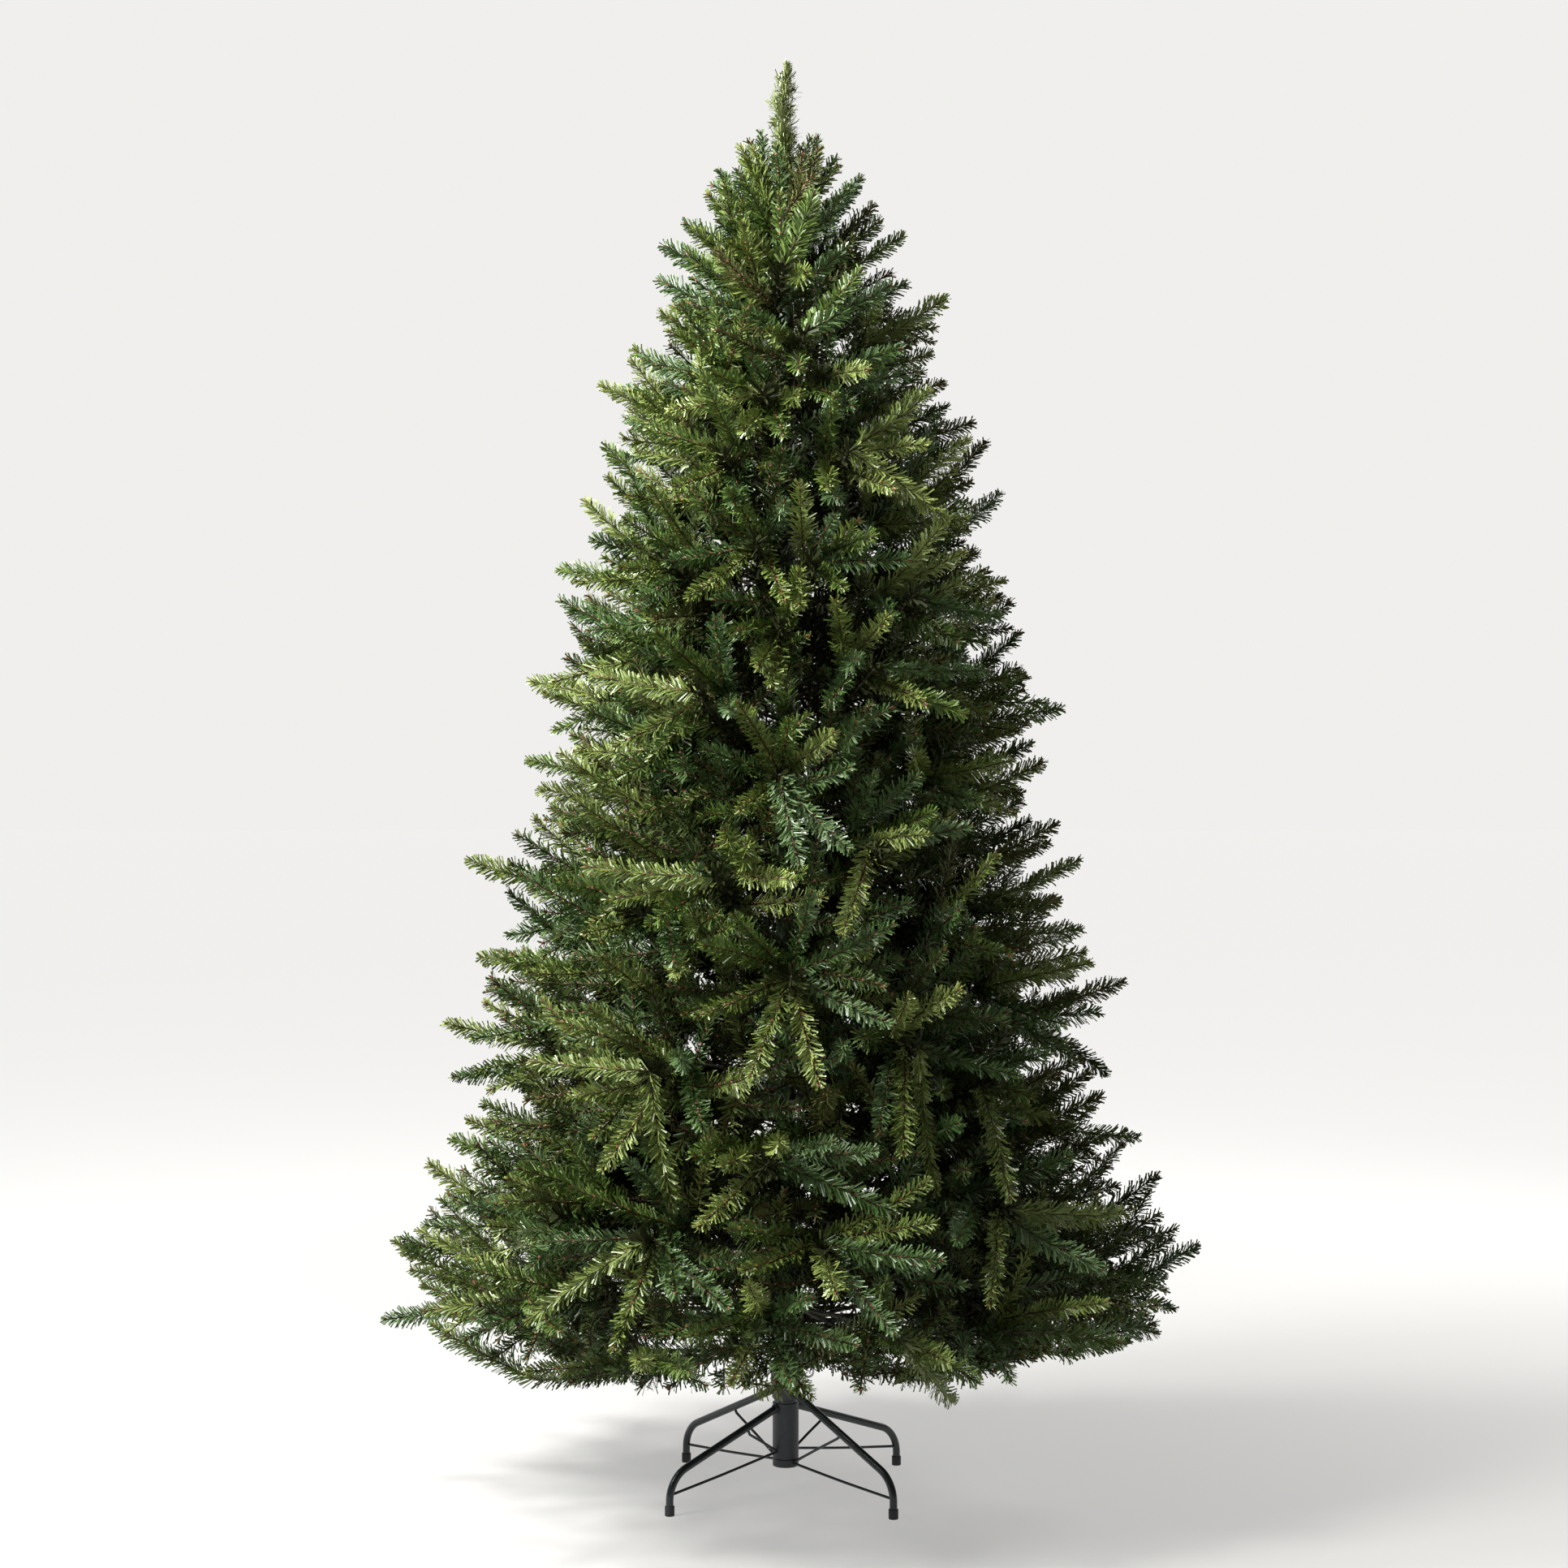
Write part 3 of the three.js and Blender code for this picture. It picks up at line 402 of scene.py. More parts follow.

# tips of the same outline that stand between those above, with darker moss and pine on the shaded right as painted
# shade
FILL_TIPS = [
    ((-0.33, -0.02, 0.64), (-0.433, -0.03, 0.594), "o"),
    ((-0.3, -0.08, 0.53), (-0.376, -0.12, 0.645), "l"),
    ((-0.28, 0.03, 0.56), (-0.412, 0.035, 0.603), "g"),
    ((-0.29, -0.03, 0.50), (-0.43, -0.04, 0.548), "o"),
    ((0.32, 0.0, 0.59), (0.436, 0.01, 0.636), "m"),
    ((0.33, 0.03, 0.54), (0.45, 0.02, 0.613), "m"),
    ((0.3, -0.06, 0.56), (0.41, -0.09, 0.606), "p"),
    ((-0.4, -0.05, 0.27), (-0.528, -0.06, 0.312), "g"),
    ((-0.37, -0.02, 0.39), (-0.494, -0.03, 0.44), "o"),
    ((0.27, 0.0, 0.9), (0.388, 0.0, 0.955), "m"),
    ((0.24, 0.02, 0.93), (0.36, 0.02, 0.988), "p"),
    ((0.36, 0.0, 0.43), (0.49, 0.01, 0.447), "m"),
    ((0.35, 0.03, 0.47), (0.474, 0.03, 0.517), "m"),
    ((0.43, 0.02, 0.29), (0.56, 0.02, 0.308), "p"),
    ((-0.22, 0.0, 0.96), (-0.345, -0.01, 1.008), "o"),
    ((-0.16, 0.0, 1.32), (-0.268, 0.0, 1.378), "g"),
    ((0.1, 0.0, 1.59), (0.2, 0.0, 1.652), "g"),
    ((-0.24, 0.0, 1.13), (-0.356, 0.0, 1.178), "o"),
    ((0.24, 0.0, 0.76), (0.36, 0.0, 0.80), "m"),
    ((-0.15, 0.02, 1.28), (-0.262, 0.02, 1.325), "o"),
    ((-0.33, 0.0, 0.44), (-0.455, 0.0, 0.478), "g"),
    ((-0.05, 0.0, 1.73), (-0.135, 0.0, 1.79), "f"),
    ((0.16, 0.0, 1.44), (0.272, 0.0, 1.49), "m"),
    ((-0.19, 0.0, 1.07), (-0.315, 0.0, 1.115), "g"),
    ((-0.42, 0.0, 0.29), (-0.552, 0.0, 0.325), "o"),
]

KIND = {"l": "lime", "o": "olive", "g": "leaf", "f": "fir", "F": "frost", "p": "pine", "m": "moss"}

ELEV = ([0.25, 0.40, 0.60, 0.90, 1.20, 1.50, 1.70, 1.85, 1.95], [2, 7, 11, 16, 21, 29, 39, 50, 62])
TIP_L = ([0.25, 0.60, 0.90, 1.40, 1.70, 1.90], [0.190, 0.188, 0.178, 0.160, 0.142, 0.122])

tips = []      # one dict for each tip (a spray of needles on its own wire)
stems = []     # main wires of the boughs


def inside(p, slack=1.03):
    r, z = math.hypot(p[0], p[1]), p[2]
    low = underside(r) + (0.014 * np.interp(abs(p[0]), [0.28, 0.34, 0.43, 0.50], [0, 1, 1, 0]) if p[1] < 0 else 0)
    slack -= 0.035 * (abs(p[0]) > 0.85 * r)
    return r < slack * reach(math.atan2(p[1], p[0]), z) and z > low and z < 2.02


def arc(p0, t0, c0, length, bend, s):
    """Points and directions at distances s along an arc that turns by bend from t0 towards c0."""
    k = np.where(np.abs(bend) < 1e-4, 1e-4, bend) / length
    a = k * s
    p = p0 + (np.sin(a) / k)[..., None] * t0 + ((1 - np.cos(a)) / k)[..., None] * c0
    t = np.cos(a)[..., None] * t0 + np.sin(a)[..., None] * c0
    return p, t


def store(p, t, c, length, bend, kind, density, placed=False):
    q, d = arc(p, t, c, length, bend, np.array([length / 2, length]))
    out = unit(np.array([*unit(q[0] * [1, 1, 0])[:2], 0.30]))
    depth = float(reach(math.atan2(q[0][1], q[0][0]), q[0][2])) - math.hypot(q[0][0], q[0][1])
    # painted shade: a random tip deep in the crown takes pine or the near-black inner green, and one a little way in
    # often takes pine or fir, for the shade that falls there
    if depth > 0.20 and not placed:
        if rng.random() < float(np.interp(depth, [0.20, 0.34], [0.15, 0.55])):
            return
        kind = "inner" if depth > 0.25 else "pine"
    if depth > 0.10 and not placed and kind not in ("inner", "pine") and shade.random() < float(np.interp(depth, [0.10, 0.18], [0.20, 0.75])):
        kind = "pine" if shade.random() < 0.6 else "fir"
    level = 1 - abs(float(d[0] @ out))
    face = across(out + rng.normal(0, 0.22, 3), t)
    tips.append({"p": np.array(p, float), "t": t, "c": c, "L": length, "bend": bend, "kind": kind, "out": out,
                 "density": density * float(np.interp(depth, [0.09, 0.16, 0.26], [1.0, 0.78, 0.5])),
                 "face": face, "flat": level, "depth": depth, "placed": placed, "mid": q[0], "end": q[1]})


def add_tip(p, t, length, bend, kind, density=1.0, bend_to=UP, tight=1.03, keep=0.55):
    t = unit(t)
    full = length
    for _ in range(16):
        c = across(bend_to, t)
        end, _t = arc(p, t, c, length, bend, np.array([length]))
        if inside(end[0], tight):
            break
        if length > keep * full:
            length *= 0.94
        else:
            out = unit(np.array([end[0][0], end[0][1], 0.0]))
            t = unit(t - 0.18 * out * max(t @ out, 0) + 0.12 * UP * (1 if end[0][2] < 0.4 else -0.3))
    else:
        return
    store(p, t, c, length, bend, kind, density)


def set_tip(base, end, kind, stretch_in=True):
    """A tip whose two ends are known."""
    base, end = np.array(base, float), np.array(end, float)
    want = float(np.interp(end[2], *TIP_L)) * 0.93
    d = end - base
    far = np.linalg.norm(d)
    if far < want:
        if stretch_in:
            back = -unit(np.array([base[0], base[1], 0.0]))
            k = float(d @ -back)
            base = base + back * (-k + math.sqrt(max(k * k + want * want - far * far, 0.0)))
        else:
            base = end - unit(d) * want
    elif far > 1.12 * want:
        base = end - unit(d) * 1.12 * want
    d = end - base
    far = float(np.linalg.norm(d))
    d = d / far
    bend = math.radians(rng.uniform(3, 15))
    c = across(UP if rng.random() < 0.75 else -UP, d)
    t = unit(math.cos(bend / 2) * d - math.sin(bend / 2) * c)
    c = across(c, t)
    length = far * (bend / 2) / math.sin(bend / 2)
    store(base, t, c, length, bend, kind, 1.45 if abs(end[0]) > 0.8 * reach(0.0 if end[0] > 0 else math.pi, end[2]) else 1.2, True)
    return base


def stem_to(b, elev):
    """A bough's main wire from the pole out to b."""
    r = math.hypot(b[0], b[1])
    out = unit(np.array([b[0], b[1], 0.0]))
    z_root = max(b[2] - (r - POLE_R) * math.tan(elev), 0.215)
    a = out * (POLE_R - 0.001) + UP * z_root
    mid = (a + b) / 2 - UP * 0.02 * (r / 0.4) + np.cross(UP, out) * rng.normal(0, 0.01)
    u = np.linspace(0, 1, 9)[:, None]
    line = (1 - u) ** 2 * a + 2 * u * (1 - u) * mid + u ** 2 * b
    stems.append(line)
    return line


names = list(GREENS)
shares = np.array([GREENS[k][1] for k in names])
WARM = np.array([GREENS[k][2] for k in names])


def pick_kind(warm):
    """A tip's green. warm is how yellow its bough runs."""
    w = shares * (warm * WARM + (1 - warm) * (1 - 0.85 * WARM))
    return names[rng.choice(len(names), p=w / w.sum())]


class Bough:
    def __init__(self, line, elev_tip, low):
        self.line, self.low = line, low
        self.length = float(np.linalg.norm(np.diff(line, axis=0), axis=1).sum())
        self.out = unit(line[-1] * [1, 1, 0])
        self.side = np.cross(UP, self.out)
        self.t_end = unit(self.out * math.cos(elev_tip) + UP * math.sin(elev_tip))
        self.warm = float(np.clip(rng.normal(0.5, 0.30), 0.02, 0.98))
        self.l = float(np.interp(line[-1][2], *TIP_L))

    def at(self, d):
        """A point and direction on the stem at distance d back from its end."""
        f = np.clip(1 - d / self.length, 0.0, 1.0) * 8
        k = min(int(f), 7)
        return self.line[k] + (self.line[k + 1] - self.line[k]) * (f - k), unit(self.line[k + 1] - self.line[k])

    def green(self):
        return pick_kind(self.warm) if rng.random() < 0.8 else pick_kind(1 - self.warm)

    def fan(self, d, roll, angle, size, density=1.0):
        q, t = self.at(d)
        if d < 0.02:
            t = self.t_end
        s = across(self.side, t)
        n = np.cross(s, t) if np.cross(s, t)[2] > 0 else np.cross(t, s)
        w, x = math.radians(roll), math.radians(angle)
        dirn = math.cos(x) * t + math.sin(x) * (math.cos(w) * s + math.sin(w) * n)
        bend = math.radians(rng.normal(9, 8))
        to = UP
        if self.low and math.sin(w) < 0.3 and rng.random() < 0.7:
            bend, to = math.radians(rng.uniform(2, 16)), -UP
        add_tip(q, dirn, size, bend, self.green(), density, to, 1.0 + rng.uniform(0.0, 0.03))

    def behind(self, first, steps):
        """Tips in pairs and threes on the stem behind its end."""
        for j in range(first, steps + 1):
            d = 0.055 * j + rng.uniform(-0.008, 0.008)
            if d > self.length - 0.05:
                break
            rolls = [rng.uniform(-28, 28), 180 + rng.uniform(-28, 28)]
            if j % 2 == 0:
                rolls.append((90 if rng.random() < 0.66 else -90) + rng.uniform(-30, 30))
            for roll in rolls:
                self.fan(d, roll, rng.uniform(46, 70), self.l * rng.uniform(0.86, 1.04))


def bough(phi, z_tip, stretch):
    l = float(np.interp(z_tip, *TIP_L)) * rng.uniform(0.94, 1.06)
    e = math.radians(float(np.interp(z_tip, *ELEV)) + rng.uniform(-5, 5))
    big = float(reach(phi, z_tip)) * stretch
    out = np.array([math.cos(phi), math.sin(phi), 0.0])
    e_tip = e + math.radians(rng.uniform(0, 12))
    r_end = max(big - 0.92 * l * math.cos(e_tip), 0.03)
    b = out * r_end + UP * max(z_tip - l * math.sin(e_tip), 0.235)
    if any(np.linalg.norm(b - q) < gap for q, gap in taken):
        return
    bo = Bough(stem_to(b, e * rng.uniform(0.85, 1.0)), e_tip, z_tip < 0.42)
    # one tip goes on past the end, or leans aside, and the rest stand round it
    lean = math.radians(abs(rng.normal(0, 16)))
    w = rng.uniform(0, 2 * math.pi)
    s = bo.side
    n = np.cross(bo.t_end, s)
    t = math.cos(lean) * bo.t_end + math.sin(lean) * (math.cos(w) * s + math.sin(w) * n)
    add_tip(b, t, l, math.radians(rng.normal(6, 6)), bo.green(), 1.0, UP, 1.035, keep=0.8)
    around = 5 if big > 0.34 else 4
    start = rng.uniform(0, 360 / around)
    for k in range(around):
        bo.fan(0.003 + 0.012 * k / around, start + 360 * k / around + rng.uniform(-18, 18), rng.uniform(38, 74),
               l * rng.uniform(0.86, 1.0))
    bo.behind(1, int(round(np.interp(big, [0.12, 0.25, 0.45, 0.60], [0.6, 1.2, 2.2, 3.0]))))


taken = []
for base, end, k in SIDE_TIPS:
    b = set_tip(base, end, KIND[k], False)
    z = end[2]
    bo = Bough(stem_to(b, math.radians(float(np.interp(z, *ELEV)))), math.radians(float(np.interp(z, *ELEV))), z < 0.42)
    taken.append((b, 0.055 if z < 1.5 else 0.045))
    for sign in (0, 180):
        bo.fan(rng.uniform(0.0, 0.03), sign + rng.uniform(-25, 25), rng.uniform(45, 70), bo.l * rng.uniform(0.8, 0.95))
    bo.behind(2, 2 if b[2] < 1.3 else 0)
for centre, ends in STARS:
    c = np.array(centre)
    for end, k in ends:
        set_tip(c, end, KIND[k])
    z = c[2]
    bo = Bough(stem_to(c, math.radians(float(np.interp(z, *ELEV)))), math.radians(float(np.interp(z, *ELEV))), z < 0.42)
    taken.append((c, 0.105 if z < 1.4 else 0.075))
    bo.behind(1, 3 if z < 1.2 else 1)
placed = len(tips)

z, phase = 0.292, 0.3
while z < 1.93:
    mean = float(reach(math.pi / 2, z))
    l = float(np.interp(z, *TIP_L))
    n = max(4, int(round(2 * math.pi * (mean - 0.55 * l) / (0.122 + 0.165 * mean))))
    for k in range(n):
        phi = phase + 2 * math.pi * (k + rng.uniform(-0.2, 0.2)) / n
        side_on = abs(math.cos(phi)) > 0.90
        bough(phi, z + rng.uniform(-0.028, 0.028), rng.uniform(0.84, 0.92) if side_on else rng.uniform(0.95, 1.03))
    z += 0.070 + 0.064 * mean
    phase += math.pi / n + rng.uniform(-0.2, 0.2)

# steep tips round the leader
for n, low, high, a0, a1, l0, l1 in ((7, 1.86, 1.90, 54, 74, 0.105, 0.122), (8, 1.80, 1.85, 36, 56, 0.115, 0.135),
                                     (8, 1.74, 1.79, 28, 46, 0.12, 0.14)):
    shift = rng.uniform(0, 2)
    for k in range(n):
        phi = 2 * math.pi * (k + rng.uniform(-0.2, 0.2)) / n + shift
        steep = math.radians(rng.uniform(a0, a1))
        out = np.array([math.cos(phi), math.sin(phi), 0.0])
        add_tip(out * 0.012 + UP * rng.uniform(low, high), out * math.cos(steep) + UP * math.sin(steep),
                rng.uniform(l0, l1), math.radians(rng.normal(4, 6)), pick_kind(rng.uniform(0.1, 0.8)), 1.0, UP, 1.05, keep=0.85)

# short tips round the pole, in the near-black inner green: painted shade
for _ in range(190):
    z = 0.26 + 1.50 * rng.random() ** 1.1
    phi = rng.uniform(0, 2 * math.pi)
    wide = float(reach(phi, z))
    out = np.array([math.cos(phi), math.sin(phi), 0.0])
    p = out * rng.uniform(0.018, 0.42 * wide) + UP * z
    d = unit(out * 0.8 + rng.normal(0, 0.5, 3) + 0.25 * UP)
    l = rng.uniform(0.11, 0.16)
    q, d_end = arc(p, d, across(UP, d), l, 0.1, np.array([l / 2, l]))
    if inside(q[1], 0.80):
        tips.append({"p": p, "t": d, "c": across(UP, d), "L": l, "bend": 0.1, "kind": "inner", "out": out, "density": 0.55,
                     "face": across(out, d), "flat": 0.3, "depth": 0.3, "placed": False, "mid": q[0], "end": q[1]})

# tips that close the wide gaps a row of boughs leaves between itself and the next
for x, z in ((0.40, 0.47), (0.36, 0.52), (-0.36, 0.75), (0.28, 1.10), (-0.26, 0.96), (0.15, 1.72), (0.28, 1.27), (0.29, 1.19), (0.31, 1.16),
             (-0.25, 1.22), (-0.38, 0.71), (0.06, 0.24), (-0.05, 0.24), (0.12, 0.25), (-0.12, 0.25), (0.50, 0.36), (-0.50, 0.35),
             (-0.14, 0.50), (-0.15, 0.53), (-0.10, 0.50), (-0.10, 0.55), (-0.18, 0.46), (0.05, 0.34), (0.05, 0.28), (0.10, 0.28), (0.0, 0.29), (-0.05, 0.34), (0.13, 0.32), (-0.20, 0.30), (-0.30, 0.29), (0.21, 0.31), (0.31, 0.30)):
    for y in (-0.02, 0.05, 0.12):
        way = unit(np.array([x, y, 0.0]))
        l = rng.uniform(0.13, 0.17)
        d = unit(way + UP * rng.uniform(0.1, 0.7) + rng.normal(0, 0.3, 3))
        # painted shade: these take only the darker greens, for the shade in the gaps
        add_tip(np.array([x, y, z]) - 0.5 * l * d, d, l, 0.15, ["pine", "fir", "moss", "leaf"][rng.integers(4)], 0.9)

# tips half way out in the lower crown, so that it closes from every side, in the darker greens as painted shade
for _ in range(115):
    z = 0.27 + 0.85 * rng.random() ** 1.2
    phi = rng.uniform(0, 2 * math.pi)
    wide = float(reach(phi, z))
    out = np.array([math.cos(phi), math.sin(phi), 0.0])
    l = rng.uniform(0.12, 0.17)
    d = unit(out * 0.8 + rng.normal(0, 0.42, 3) + 0.15 * UP)
    add_tip(out * wide * rng.uniform(0.36, 0.66) + UP * z, d, l, 0.12, ["pine", "fir", "moss", "pine"][rng.integers(4)], 0.8)

# the lowest ring is a thicket of short tips that point every way
for _ in range(170):
    z = rng.uniform(0.235, 0.37)
    phi = rng.uniform(0, 2 * math.pi)
    wide = float(reach(phi, z))
    out = np.array([math.cos(phi), math.sin(phi), 0.0])
    d = unit(out * 0.45 + rng.normal(0, 0.5, 3) * [1, 1, 0.9])
    add_tip(out * wide * rng.uniform(0.35, 0.84) + UP * z, d, rng.uniform(0.095, 0.14), 0.12, pick_kind(rng.uniform(0.1, 0.7)), 0.9)

for base, end, k in FILL_TIPS:
    b = set_tip(base, end, KIND[k], False)
    stem_to(b, math.radians(float(np.interp(end[2], *ELEV))))

# a random tip gives way where it would lie in front of a listed one
marks = [(r["mid"] * 0.55 + r["p"] * 0.45, r["mid"], (r["mid"] + r["end"]) / 2, r["end"]) for r in tips if r["placed"] and r["p"][1] < -0.08]
marks = np.array(marks).reshape(-1, 3)


def hides(r):
    q, _ = arc(r["p"], r["t"], r["c"], r["L"], r["bend"], np.linspace(0.25, 1.0, 5) * r["L"])
    for p in q:
        if p[1] > -0.05:
            continue
        k = (4.2 + marks[:, 1]) / (4.2 + p[1])
        gap = np.hypot(p[0] * k - marks[:, 0], (p[2] - 1.043) * k + 1.043 - marks[:, 2])
        if np.any((gap < 0.026) & (marks[:, 1] > p[1] + 0.004)):
            return True
    return False


before = len(tips)
tips = [r for r in tips if r["placed"] or not hides(r)]
print("boughs", len(stems), "tips", len(tips), "set by hand", sum(r["placed"] for r in tips), "gave way", before - len(tips))


# ------------------------------------------------------------------ needles
def needles(p0, t0, c0, f0, length, bend, count, flat, out0, hidden, seed, taper=0.040, longest=NEEDLE_L, wide=NEEDLE_W):
    """Quads for the needles of many tips at once. All arguments but the last four are arrays over the tips."""
    g = np.random.default_rng(seed)
    i = np.repeat(np.arange(len(count)), count)
    k = np.arange(len(i)) - np.repeat(np.concatenate([[0], np.cumsum(count)[:-1]]), count)
    s = (k + g.random(len(i))) / count[i] * length[i]
    kap = np.where(np.abs(bend) < 1e-4, 1e-4, bend) / length
    a = kap[i] * s
    p = p0[i] + (np.sin(a) / kap[i])[:, None] * t0[i] + ((1 - np.cos(a)) / kap[i])[:, None] * c0[i]
    t = np.cos(a)[:, None] * t0[i] + np.sin(a)[:, None] * c0[i]
    f = f0[i] - np.sum(f0[i] * t, 1)[:, None] * t
    f = unit(f)
    side = np.cross(t, f)
    start = g.random(len(count)) * 2 * math.pi
    turn = 2 * math.pi * s / PITCH + start[i] + g.normal(0, 0.60, len(i))
    turn = turn - 0.28 * flat[i] * np.sin(2 * turn)
    left = length[i] - s
    rake = np.radians(53 + g.normal(0, 8, len(i))) - np.radians(20) * np.exp(-left / 0.008)
    size = longest * (0.50 + 0.50 * np.clip(left / taper, 0, 1) ** 0.8) * g.uniform(0.86, 1.07, len(i))
    # some lie close along the wire and cover it
    close = g.random(len(i)) < 0.32
    rake = np.where(close, rake * g.uniform(0.45, 0.75, len(i)), rake)
    size = np.where(close, size * 0.85, size)
    # tips differ in how long their needles are
    size = size * g.uniform(0.80, 1.06, len(count))[i]
    size *= 1 - 0.18 * flat[i] * np.sin(turn) ** 2
    round_ = np.cos(turn)[:, None] * side + np.sin(turn)[:, None] * f
    # fewer needles where a deep tip faces the pole
    keep = ~((np.sum(round_ * out0[i], 1) < -0.25) & (g.random(len(i)) < hidden[i]))
    i, p, t, turn, size, rake, round_ = i[keep], p[keep], t[keep], turn[keep], size[keep], rake[keep], round_[keep]
    d = unit(np.cos(rake)[:, None] * t + np.sin(rake)[:, None] * round_ + g.normal(0, 0.10, p.shape))
    tangent = unit(np.cross(t, d))
    n = np.cross(d, tangent)
    # the ribbon's width runs with the wound wire: mostly along the core, a little round it
    tw = g.normal(0.38, 0.42, len(i))
    w = np.cos(tw)[:, None] * n + np.sin(tw)[:, None] * tangent
    half = (wide * g.uniform(0.85, 1.1, len(i)) / 2)[:, None]
    base = p + 0.0008 * d
    end = p + size[:, None] * d
    # the ribbon twists a little towards its end
    curl = g.normal(0, 0.45, len(i))
    w2 = np.cos(curl)[:, None] * w + np.sin(curl)[:, None] * np.cross(d, w)
    v = np.stack([base - 0.62 * half * w, base + 0.62 * half * w, end + 1.05 * half * w2, end - 1.05 * half * w2], 1)
    return v.reshape(-1, 3)


def table_of(rows):
    return [np.array([r[k] for r in rows]) for k in ("p", "t", "c", "face", "L", "bend")]


total = sum(r["L"] * r["density"] * (1 - 0.4 * np.interp(r["depth"], [0.05, 0.14], [0.0, 0.7])) for r in tips)
per_metre = TRIANGLES / 2 / total
print("needles per metre of tip", round(per_metre))
for d0, d1 in ((-1, 0.06), (0.06, 0.12), (0.12, 0.18), (0.18, 0.25), (0.25, 9)):
    rows = [r for r in tips if d0 <= r["depth"] < d1]
    print("depth", d0, "tips", len(rows), "needles", int(per_metre * sum(r["L"] * r["density"] for r in rows)))
foliage_nodes = [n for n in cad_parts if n.startswith("foliage_")]
bough_nodes = [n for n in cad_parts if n.startswith("bough_")]
made = 0
owners = {}
for k, n in enumerate(foliage_nodes):
    owners.setdefault(names[k % len(names)], []).append(n)
for kind in names + ["inner"]:
    rows = [r for r in tips if r["kind"] == kind]
    p0, t0, c0, f0, length, bend = table_of(rows)
    count = np.maximum((length * per_metre * np.array([r["density"] for r in rows])).astype(int), 40)
    flat = np.array([r["flat"] for r in rows])
    out0 = np.array([r["out"] for r in rows])
    hidden = np.interp([r["depth"] for r in rows], [0.05, 0.14], [0.0, 0.7])
    parts = int(math.ceil(count.sum() * 2 / 190_000))
    # neighbouring tips go to one part, so each part is a band of the crown
    order = np.argsort(p0[:, 2])
    cut = np.searchsorted(np.cumsum(count[order]), np.linspace(0, count.sum(), parts + 1)[1:-1])
    for m, idx in enumerate(np.split(order, cut)):
        v = needles(p0[idx], t0[idx], c0[idx], f0[idx], length[idx], bend[idx], count[idx],
                    flat[idx], out0[idx], hidden[idx], 100 + m + 10 * len(kind), 0.040,
                    0.029 if kind == "inner" else NEEDLE_L, 0.0036 if kind == "inner" else NEEDLE_W)
        f = np.arange(len(v)).reshape(-1, 4)
        made += 2 * len(f)
        assert 2 * len(f) < 199_000
        own = owners.get(kind, []) if m == 0 else []
        piece(f"needles_{kind}_{m + 1}", v, f, NEEDLE[kind], own)

# the boughs' own wires are wound too, thinly towards the pole; the low ones, which show, as finely as a tip
for low in (False, True):
    g_p, g_t, g_c, g_f, g_l, g_b, g_n = [], [], [], [], [], [], []
    for line in stems:
        if (min(p[2] for p in line) < 0.36) != low:
            continue
        for a, b, share in zip(line[2:-1], line[3:], [0.35, 0.5, 0.7, 0.9, 1.0, 1.0]):
            t = unit(b - a)
            g_p.append(a), g_t.append(t), g_c.append(across(UP, t)), g_f.append(across(np.array([a[0], a[1], 0.3]), t))
            g_l.append(float(np.linalg.norm(b - a))), g_b.append(0.0)
            g_n.append(max(int(g_l[-1] * (1600 if low else 1050) * share), 4))
    v = needles(np.array(g_p), np.array(g_t), np.array(g_c), np.array(g_f), np.array(g_l), np.array(g_b), np.array(g_n),
                np.zeros(len(g_n)), np.array(g_f), np.zeros(len(g_n)), 900, 1e-6, 0.023 if low else 0.030, 0.0020 if low else 0.0046)
    f = np.arange(len(v)).reshape(-1, 4)
    made += 2 * len(f)
    # painted shade: the needles on the upper stems take the near-black inner green
    piece("needles_stems_low" if low else "needles_stems", v, f, NEEDLE["pine" if low else "inner"])

# ------------------------------------------------------------------ the leader: ribbons that curl
def leader():
    g = np.random.default_rng(5)
    n = 1750
    z0, z1 = 1.850, CROWN_TOP - 0.004
    s = np.sort(g.random(n) ** 0.92)
    z = z0 + (z1 - z0) * s
    p = np.stack([0.0030 * np.sin(7 * s), 0.0018 * np.sin(9 * s + 1), z], 1)
    turn = 2 * math.pi * z / 0.0060 + g.normal(0, 0.45, n)
    out = np.stack([np.cos(turn), np.sin(turn), np.zeros(n)], 1)
    left = z1 - z
    # the tufts: ribbons bunch and part along the wire
    tuft = 1 + 0.27 * np.sin(2 * math.pi * z / 0.036 + 1.6 * np.cos(turn)) + 0.10 * np.sin(2 * math.pi * z / 0.013 + 2 * np.sin(turn))
    size = 0.0292 * (0.40 + 0.54 * np.clip(left / 0.052, 0, 1) ** 0.75) * (1 - 0.30 * np.clip((left - 0.13) / 0.09, 0, 1)) * tuft * g.uniform(0.78, 1.1, n)
    rise = np.radians(g.normal(36, 10, n)) + np.radians(30) * np.exp(-left / 0.010) + np.radians(14) * (tuft - 1) * 3
    curl = np.radians(g.normal(6, 26, n))
    veer = np.radians(g.normal(0, 22, n))
    around = np.cross(UP, out)
    pts = [p]
    for step in range(3):
        e = rise + curl * (step - 0.6)
        y = veer * (step - 0.3)
        flat = np.cos(y)[:, None] * out + np.sin(y)[:, None] * around
        d = np.cos(e)[:, None] * flat + np.sin(e)[:, None] * UP
        pts.append(pts[-1] + (size / 3)[:, None] * d)
    w = unit(around + g.normal(0, 0.45, out.shape) + 0.7 * UP)
    v = []
    for step, q in enumerate(pts):
        h = 0.00100 * (0.7, 1.0, 1.0, 0.8)[step]
        v += [q - h * w, q + h * w]
    v = np.stack(v, 1).reshape(-1, 3)
    b = np.arange(n)[:, None] * 8
    f = np.concatenate([b + np.array([0, 1, 3, 2]) + 2 * step for step in range(3)])
    return v, f


v, f = leader()
made += 2 * len(f)
piece("needles_leader", v, f, NEEDLE["leader"], [])

